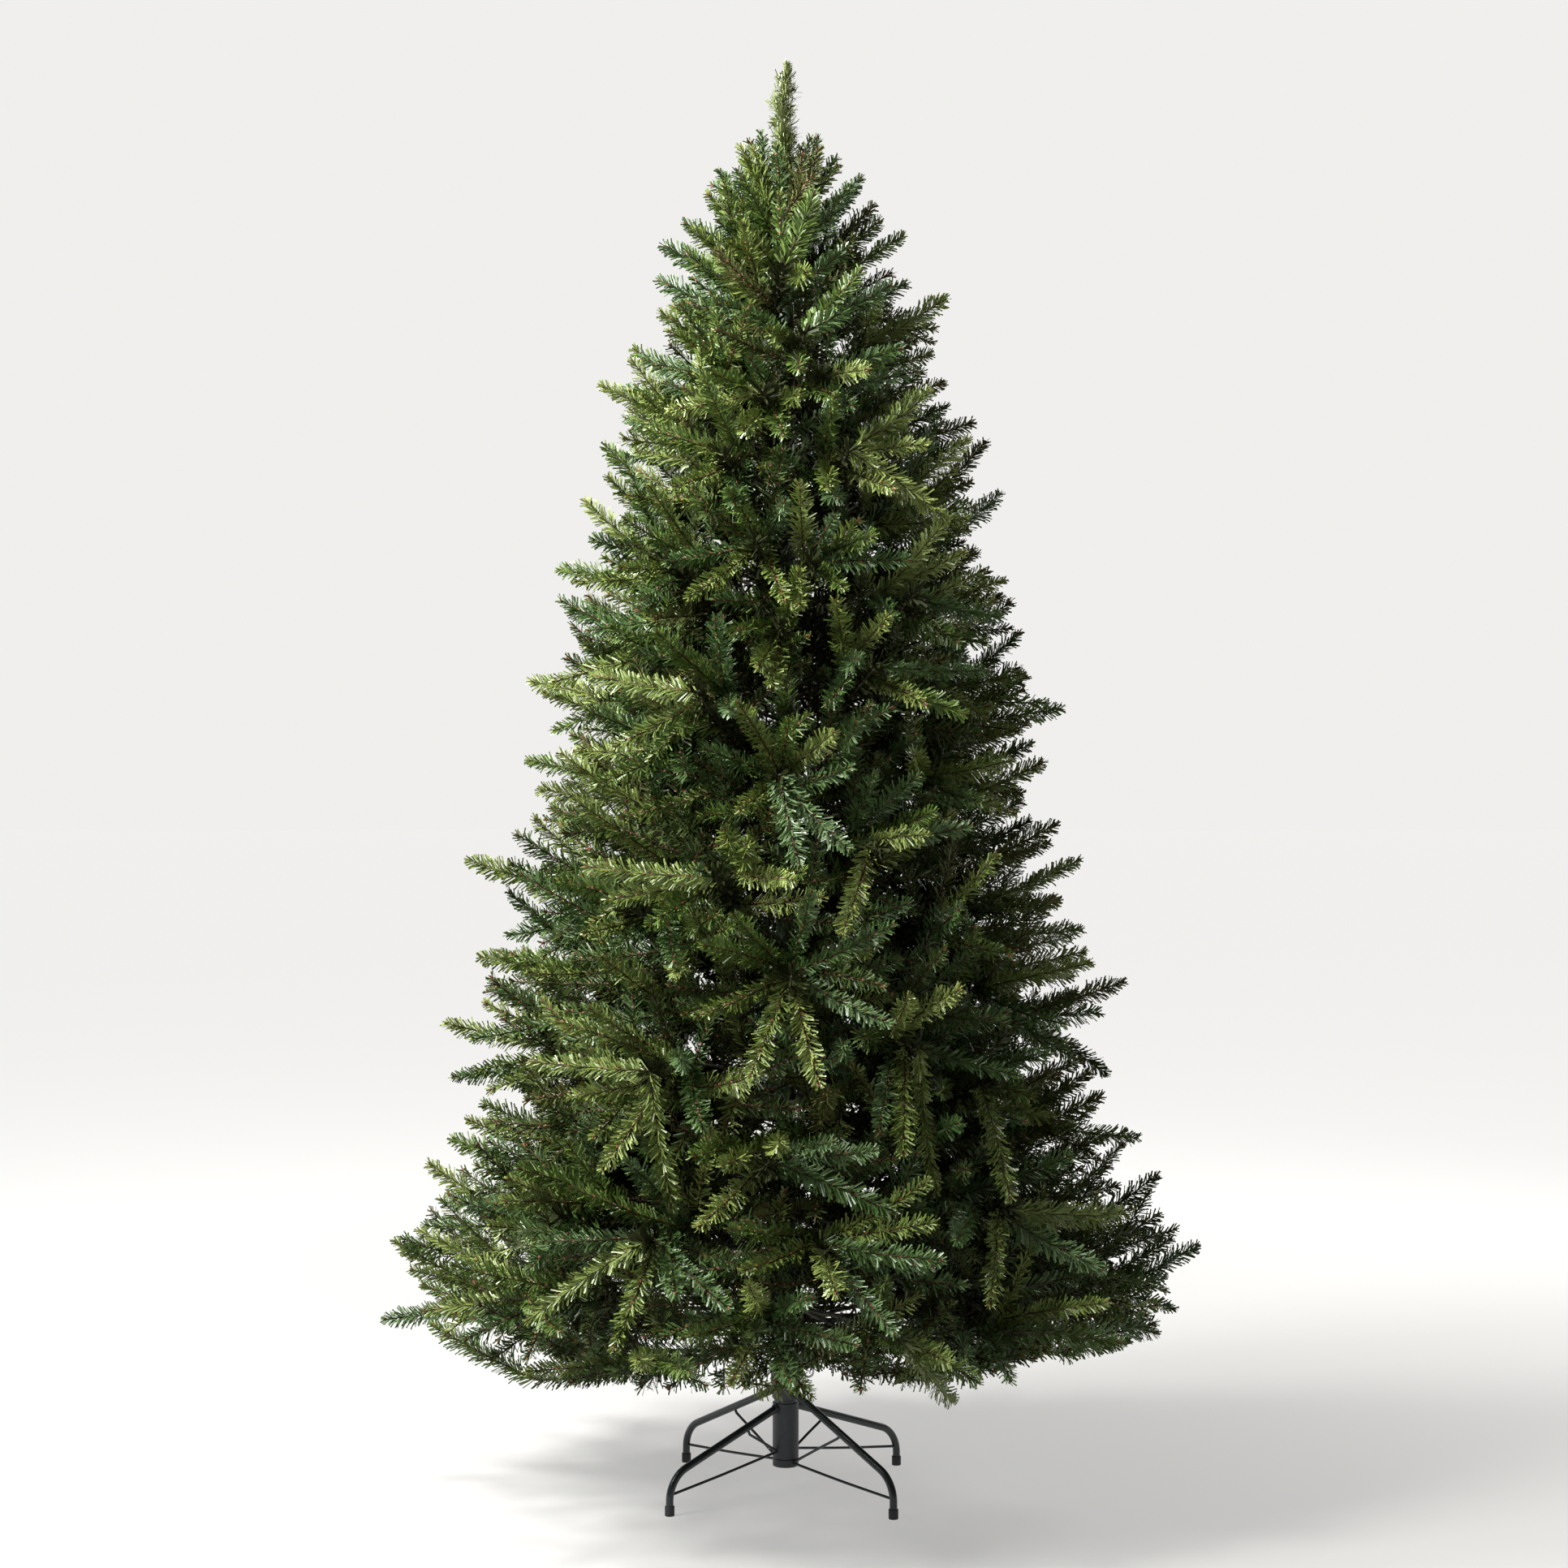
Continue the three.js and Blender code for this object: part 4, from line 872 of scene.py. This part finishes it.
# ------------------------------------------------------------------ cores and flecks of the tips
def cores(rows, seed):
    g = np.random.default_rng(seed)
    p0, t0, c0, f0, length, bend = table_of(rows)
    kap = np.where(np.abs(bend) < 1e-4, 1e-4, bend) / length
    rings, sides = 4, 3
    vs = []
    for k in range(rings):
        s = length * k / (rings - 1) + (0.0012 if k == rings - 1 else 0)
        a = kap * s
        p = p0 + (np.sin(a) / kap)[:, None] * t0 + ((1 - np.cos(a)) / kap)[:, None] * c0
        t = np.cos(a)[:, None] * t0 + np.sin(a)[:, None] * c0
        side = unit(np.cross(t, f0))
        up = np.cross(side, t)
        r = [0.0015, 0.0014, 0.0012, 0.0010][k]
        for m in range(sides):
            w = 2 * math.pi * (m + 0.25) / sides
            vs.append(p + r * (math.cos(w) * side + math.sin(w) * up))
    v = np.stack(vs, 1).reshape(-1, 3)
    b = (np.arange(len(rows)) * rings * sides)[:, None]
    quads = []
    for k in range(rings - 1):
        for m in range(sides):
            l = (m + 1) % sides
            quads.append(b + np.array([k * sides + m, k * sides + l, (k + 1) * sides + l, (k + 1) * sides + m]))
    tri = b + np.array([(rings - 1) * sides + m for m in range(sides)])
    core = (v, [np.concatenate(quads), tri])
    # russet flecks, about one every 11 mm of the wire, most on the outer face and fewer on the inner, and a tuft at the
    # very end
    count = np.maximum((length / 0.0112).astype(int), 4)
    i = np.repeat(np.arange(len(rows)), count)
    k = np.arange(len(i)) - np.repeat(np.concatenate([[0], np.cumsum(count)[:-1]]), count)
    s = (k + 0.5 + g.uniform(-0.3, 0.3, len(i))) * 0.0112
    fv, ff = [], []
    for face_sign, keep in ((1.0, 0.85), (-1.0, 0.35)):
        use = g.random(len(i)) < keep
        ii, ss = i[use], s[use]
        a = kap[ii] * ss
        p = p0[ii] + (np.sin(a) / kap[ii])[:, None] * t0[ii] + ((1 - np.cos(a)) / kap[ii])[:, None] * c0[ii]
        t = np.cos(a)[:, None] * t0[ii] + np.sin(a)[:, None] * c0[ii]
        f = f0[ii] * face_sign
        f = unit(f - np.sum(f * t, 1)[:, None] * t)
        side = np.cross(t, f)
        h = g.uniform(0.0040, 0.0062, len(ii))[:, None]
        c = p + h * f + side * g.normal(0, 0.0008, len(ii))[:, None]
        x = unit(side + 0.7 * t * g.normal(0, 1, len(ii))[:, None]) * g.uniform(0.0009, 0.0016, len(ii))[:, None]
        y = unit(t - 0.5 * f) * g.uniform(0.0009, 0.0015, len(ii))[:, None]
        fv.append(np.stack([c - x - y, c + x - y, c + x + y, c - x + y], 1).reshape(-1, 3))
    a = kap * length
    p = p0 + (np.sin(a) / kap)[:, None] * t0 + ((1 - np.cos(a)) / kap)[:, None] * c0
    t = np.cos(a)[:, None] * t0 + np.sin(a)[:, None] * c0
    side = unit(np.cross(t, f0))
    up = np.cross(side, t)
    # the cut end of the wire, with the ends of its ribbons round it
    ev = []
    big = g.uniform(0.8, 1.2, len(rows))[:, None]
    for k in range(3):
        w = math.pi * k / 3
        x = (math.cos(w) * side + math.sin(w) * up) * 0.0023 * big
        ev.append(np.stack([p - x - 0.0022 * t, p + x - 0.0022 * t, p + 0.75 * x + 0.0034 * big * t, p - 0.75 * x + 0.0034 * big * t], 1).reshape(-1, 3))
    fv, ev = np.concatenate(fv), np.concatenate(ev)
    return core, (fv, np.arange(len(fv)).reshape(-1, 4)), (ev, np.arange(len(ev)).reshape(-1, 4))


top = [{"p": np.array([0.0, 0.0, 1.852]), "t": UP, "c": np.array([1.0, 0.0, 0.0]), "L": CROWN_TOP - 1.862, "bend": 0.01,
        "face": np.array(way)} for way in ([0.2, -1.0, 0.0], [-1.0, -0.3, 0.0])]
(cv, cf), (fv, ff), (ev, ef) = cores(tips + top, 31)
made += sum(len(x) * (x.shape[1] - 2) for x in cf) + 2 * len(ff) + 2 * len(ef)
piece("tip_cores", cv, cf, CORE, bough_nodes)
piece("tip_flecks", fv, ff, FLECK)
piece("tip_ends", ev, ef, END)

parts = []
for line in stems:
    r = np.linspace(0.0030, 0.0019, len(line))
    v, fs = sweep(line, r, 5)
    parts.append((v, fs))
top = np.array([[0, 0, z] for z in np.linspace(POLE_TOP - 0.02, CROWN_TOP - 0.004, 7)])
parts.append(sweep(top, np.linspace(0.0024, 0.0012, 7), 6))
v, fs = joined(parts)
made += sum(len(x) * (x.shape[1] - 2) for x in fs)
piece("bough_wires", v, fs, WIRE, smooth=True)
print("triangles on the plant", made)

# ------------------------------------------------------------------ pole and stand
MM = 0.001


def rounded(profile, r=0.6, steps=3):
    """Rounds the corners of a closed [radius, z] profile, in millimetres, and gives metres."""
    p = np.array(profile, float)
    out = []
    n = len(p)
    for k in range(n):
        a, b, c = p[k - 1], p[k], p[(k + 1) % n]
        if b[0] < 1e-6:
            out.append(b)
            continue
        da, dc = np.linalg.norm(a - b), np.linalg.norm(c - b)
        q = min(r, 0.45 * da, 0.45 * dc)
        s, e = b + (a - b) * q / da, b + (c - b) * q / dc
        for u in np.linspace(0, 1, steps + 1):
            out.append((1 - u) ** 2 * s + 2 * u * (1 - u) * b + u ** 2 * e)
    return np.array(out) * MM


def turned(name, profile, mat, node, sides=72, r=0.6, steps=3):
    v, f = lathe(rounded(profile, r, steps), sides)
    v, fs = welded(v, f)
    return piece(name, v, fs, mat, [node] if node else [], smooth=True)


turned("pole", [[0, 48], [15, 48], [15, 760], [14, 763], [14, 1380], [12.5, 1383], [12.5, 1830], [7.5, 1840], [4, 1950], [0, 1950]],
       POLE, "trunk_pole", 48, 1.2)
turned("stand_inner_tube", [[15.3, 47.6], [17, 47.6], [17, 157.5], [15.3, 157.5]], STAND, "stand_tube", 72, 0.3, 2)
turned("stand_bottom_ring", [[0, 35.5], [18.4, 35.5], [19.25, 36.6], [19.25, 46.8], [18.7, 47.3], [0, 47.3]],
       STAND, "stand_bottom_collar", 72, 0.8)
turned("stand_swivel", [[17.3, 47.7], [19.25, 47.7], [19.25, 129.5], [17.3, 129.5]], STAND, "stand_swivel_sleeve", 72, 0.7)


def fluted():
    """The moulded upper collar, with shallow upright flutes round its lip."""
    prof = rounded([[17.3, 135.4], [19.25, 135.4], [19.25, 154.3], [22, 158], [22, 179.3], [19.6, 179.3], [19.6, 160], [17.3, 158]], 0.8, 4)
    v, f = lathe(prof, 144)
    r = np.hypot(v[:, 0], v[:, 1])
    a = np.arctan2(v[:, 1], v[:, 0])
    lip = np.clip((v[:, 2] - 0.1585) / 0.002, 0, 1) * np.clip((0.1765 - v[:, 2]) / 0.002, 0, 1) * (r > 0.0212)
    dip = 1 - 0.018 * lip * np.clip(np.cos(a * 24), 0, 1) ** 2
    v[:, :2] *= dip[:, None]
    return piece("stand_collar", v, f, COLLAR, ["stand_upper_collar"], smooth=True)


fluted()

LEGS = {
    "front_right": (-48, 228.5, 146.5, 0.446, (46, 41.5), (113, 94.5), 28),
    "back_left": (132, 228, 146.5, 0.446, (46, 41.5), (110, 94.5), 28),
    "front_left": (-137.3, 225, 122.5, 0.3385, (62.5, 57.5), (71, 91.5), 29.5),
    "back_right": (41.6, 227, 122.5, 0.3385, (62.5, 57.5), (71, 91.5), 29.5),
}
BEND, LEG_R = 45.0, 5.5


def upright(path, az):
    """[r, z] in millimetres in the upright plane at azimuth az, as points in metres."""
    p = np.array(path, float) * MM
    a = math.radians(az)
    return np.stack([p[:, 0] * math.cos(a), p[:, 0] * math.sin(a), p[:, 1]], 1), np.array([-math.sin(a), math.cos(a), 0.0])


def smooth_path(points, per=6):
    """A Catmull-Rom line through points."""
    p = np.array(points, float)
    p = np.concatenate([[2 * p[0] - p[1]], p, [2 * p[-1] - p[-2]]])
    out = []
    for k in range(1, len(p) - 2):
        for u in np.linspace(0, 1, per, endpoint=False):
            a, b, c, d = p[k - 1], p[k], p[k + 1], p[k + 2]
            out.append(0.5 * (2 * b + (c - a) * u + (2 * a - 5 * b + 4 * c - d) * u ** 2 + (3 * b - a - 3 * c + d) * u ** 3))
    out.append(p[-2])
    return np.array(out)


for name, (az, span, z0, slope, elbow, arm, low) in LEGS.items():
    a = math.atan(slope)
    zl = lambda r: z0 - slope * (r - 19.25)
    cr = span - BEND
    sr = cr + BEND * math.sin(a)
    cz = zl(sr) - BEND * math.cos(a)
    path = [[18.2, zl(18.2)], [19.6, zl(19.6)], [60, zl(60)], [110, zl(110)], [160, zl(160)], [185, zl(185)]]
    for k in range(19):
        w = math.pi / 2 - a - (math.pi / 2 - a) * k / 18
        path.append([cr + BEND * math.cos(w), cz + BEND * math.sin(w)])
    path += [[span, (cz + 3.3) / 2], [span, 3.3]]
    pts, side = upright(path, az)
    v, fs = sweep(pts, [LEG_R * MM] * len(pts), 32, side)
    piece(f"leg_tube_{name}", v, fs, LEG, [f"leg_{name}"], smooth=True)
    # a weld bead where the leg meets its collar
    ring, side2 = [], None
    d = unit(pts[2] - pts[1])
    u1 = across(UP, d)
    u2 = np.cross(d, u1)
    q = pts[1] + d * 0.0016
    loop = [q + (LEG_R + 0.5) * MM * (math.cos(w) * u1 + math.sin(w) * u2) for w in np.linspace(0, 2 * math.pi, 33)]
    v, fs = sweep(np.array(loop), 0.00095 * (1 + 0.25 * np.sin(np.arange(33) * 2.1)), 8)
    piece(f"weld_{name}", v, fs, LEG, [], smooth=True)

    v, f = lathe(rounded([[0, 0], [7, 0], [7, 14], [5.75, 14], [5.75, 3], [0, 3]], 1.1, 4), 48)
    v, fs = welded(v, f)
    v = v + np.array([span * MM * math.cos(math.radians(az)), span * MM * math.sin(math.radians(az)), 0])
    piece(f"foot_cap_{name}", v, fs, CAP, [f"foot_{name}"], smooth=True)

    er = 19.25 + 0.3 + 2
    up, down = elbow
    root = [arm[0] + 3.2, zl(arm[0] + 3.2) - LEG_R - 0.2]
    route = [[span - LEG_R - 0.1, low], [(span + er) / 2, (low + down) / 2 - 1.2], [er + 4, down - 0.3], [er + 0.7, down + 0.9],
             [er, (up + down) / 2], [er + 0.7, up - 0.9], [er + 4, up + 1.4], [(er + arm[0]) / 2, (up + arm[1]) / 2],
             [arm[0] - 3, arm[1] - 1.6], [arm[0] + 0.5, arm[1] + 0.8], root]
    pts, side = upright(smooth_path(route), az)
    v, fs = sweep(pts, [0.002] * len(pts), 16, side)
    piece(f"brace_wire_{name}", v, fs, LEG, [f"brace_{name}"], smooth=True)

# the eye bolt through the collar's lip
w = np.linspace(0, 2 * math.pi, 49)
loop = np.stack([0.033 + 0.008 * np.cos(w + math.pi), np.zeros(49), 0.174 + 0.008 * np.sin(w + math.pi)], 1)
ring = sweep(loop, [0.0016] * 49, 16, np.array([0.0, 1.0, 0.0]))
zs = np.linspace(0.0155, 0.0262, 60)
thread = 0.0019 + 0.00018 * np.cos(2 * math.pi * (zs - 0.0155) / 0.0008) * (zs < 0.0235)
shank = sweep(np.stack([zs, 0 * zs, np.full(60, 0.174)], 1), thread, 16, np.array([0.0, 1.0, 0.0]))
v, fs = joined([ring, shank])
piece("eye_bolt", v, fs, STEEL, ["stand_eye_bolt"], smooth=True)

# ------------------------------------------------------------------ floor, light and camera
me = bpy.data.meshes.new("floor")
s = 60.0
me.from_pydata([(-s, -s, 0), (s, -s, 0), (s, s, 0), (-s, s, 0)], [], [(0, 1, 2, 3)])
floor = bpy.data.objects.new("floor", me)
bpy.context.scene.collection.objects.link(floor)
floor_mat = material("floor_pale_glow", (0.20, 0.20, 0.20), 0.9, 0.0, 0.1)
ft = floor_mat.node_tree
fb = ft.nodes["Principled BSDF"]
fb.inputs["Emission Color"].default_value = (1.0, 0.99, 0.97, 1.0)
# the floor glows softly like a lit sweep, less so near the tree, where the lamps and the shade show
co = ft.nodes.new("ShaderNodeTexCoord")
far = ft.nodes.new("ShaderNodeVectorMath")
far.operation = "LENGTH"
ft.links.new(co.outputs["Object"], far.inputs[0])
glow = ft.nodes.new("ShaderNodeMapRange")
glow.interpolation_type = "SMOOTHSTEP"
for name, x in (("From Min", 0.3), ("From Max", 3.6), ("To Min", 0.44), ("To Max", 0.845)):
    glow.inputs[name].default_value = x
ft.links.new(far.outputs["Value"], glow.inputs["Value"])
ft.links.new(glow.outputs["Result"], fb.inputs["Emission Strength"])
me.materials.append(floor_mat)

world = bpy.data.worlds.new("studio")
bpy.context.scene.world = world
world.use_nodes = True
wt = world.node_tree
back = wt.nodes["Background"]
back.inputs["Color"].default_value = (1.0, 0.99, 0.97, 1.0)
# a white cyclorama round the floor under a dim ceiling, brighter behind
co = wt.nodes.new("ShaderNodeTexCoord")
xyz = wt.nodes.new("ShaderNodeSeparateXYZ")
wt.links.new(co.outputs["Generated"], xyz.inputs[0])


def ramp(source, x0, x1, y0, y1):
    n = wt.nodes.new("ShaderNodeMapRange")
    n.interpolation_type = "SMOOTHSTEP"
    for name, x in (("From Min", x0), ("From Max", x1), ("To Min", y0), ("To Max", y1)):
        n.inputs[name].default_value = x
    wt.links.new(source, n.inputs["Value"])
    return n.outputs["Result"]


def times(a, b):
    n = wt.nodes.new("ShaderNodeMath")
    n.operation = "MULTIPLY"
    wt.links.new(a, n.inputs[0])
    wt.links.new(b, n.inputs[1])
    return n.outputs[0]


level = times(ramp(xyz.outputs["Z"], 0.26, 0.50, 0.87, 0.03), ramp(xyz.outputs["Y"], 0.1, 0.75, 0.04, 1.0))
wt.links.new(level, back.inputs["Strength"])


def aim(o, place, target):
    from mathutils import Vector
    o.location = place
    d = Vector(target) - Vector(place)
    o.rotation_mode = "QUATERNION"
    o.rotation_quaternion = d.to_track_quat("-Z", "Y")


PALE, WARM = (1.0, 0.99, 0.955), (1.0, 0.80, 0.56)
for name, power, size, place, tint in (("key", 296.0, 1.0, (-2.1, -1.4, 2.85), PALE), ("rim", 130.0, 0.6, (-1.4, -0.2, 2.8), PALE),
                                       ("back", 75.0, 1.2, (2.2, 1.9, 2.6), PALE), ("fill", 3.0, 1.5, (2.4, -1.3, 2.6), WARM)):
    lamp = bpy.data.lights.new(name, "AREA")
    lamp.shape = "DISK"
    lamp.size = size
    lamp.energy = power
    lamp.color = tint
    lo_ = bpy.data.objects.new(name, lamp)
    bpy.context.scene.collection.objects.link(lo_)
    lo_.visible_camera = False
    aim(lo_, place, (0, 0, 1.1))

cam = bpy.data.cameras.new("camera")
cam.sensor_width = 36.0
cam.lens = 65.2
co = bpy.data.objects.new("camera", cam)
bpy.context.scene.collection.objects.link(co)
co.location = (-0.0024, -4.2, 1.043)
co.rotation_euler = (math.pi / 2, 0, 0)
cam.clip_end = 200
bpy.context.scene.camera = co
bpy.context.scene.view_settings.view_transform = "Standard"
bpy.context.scene.view_settings.look = "None"
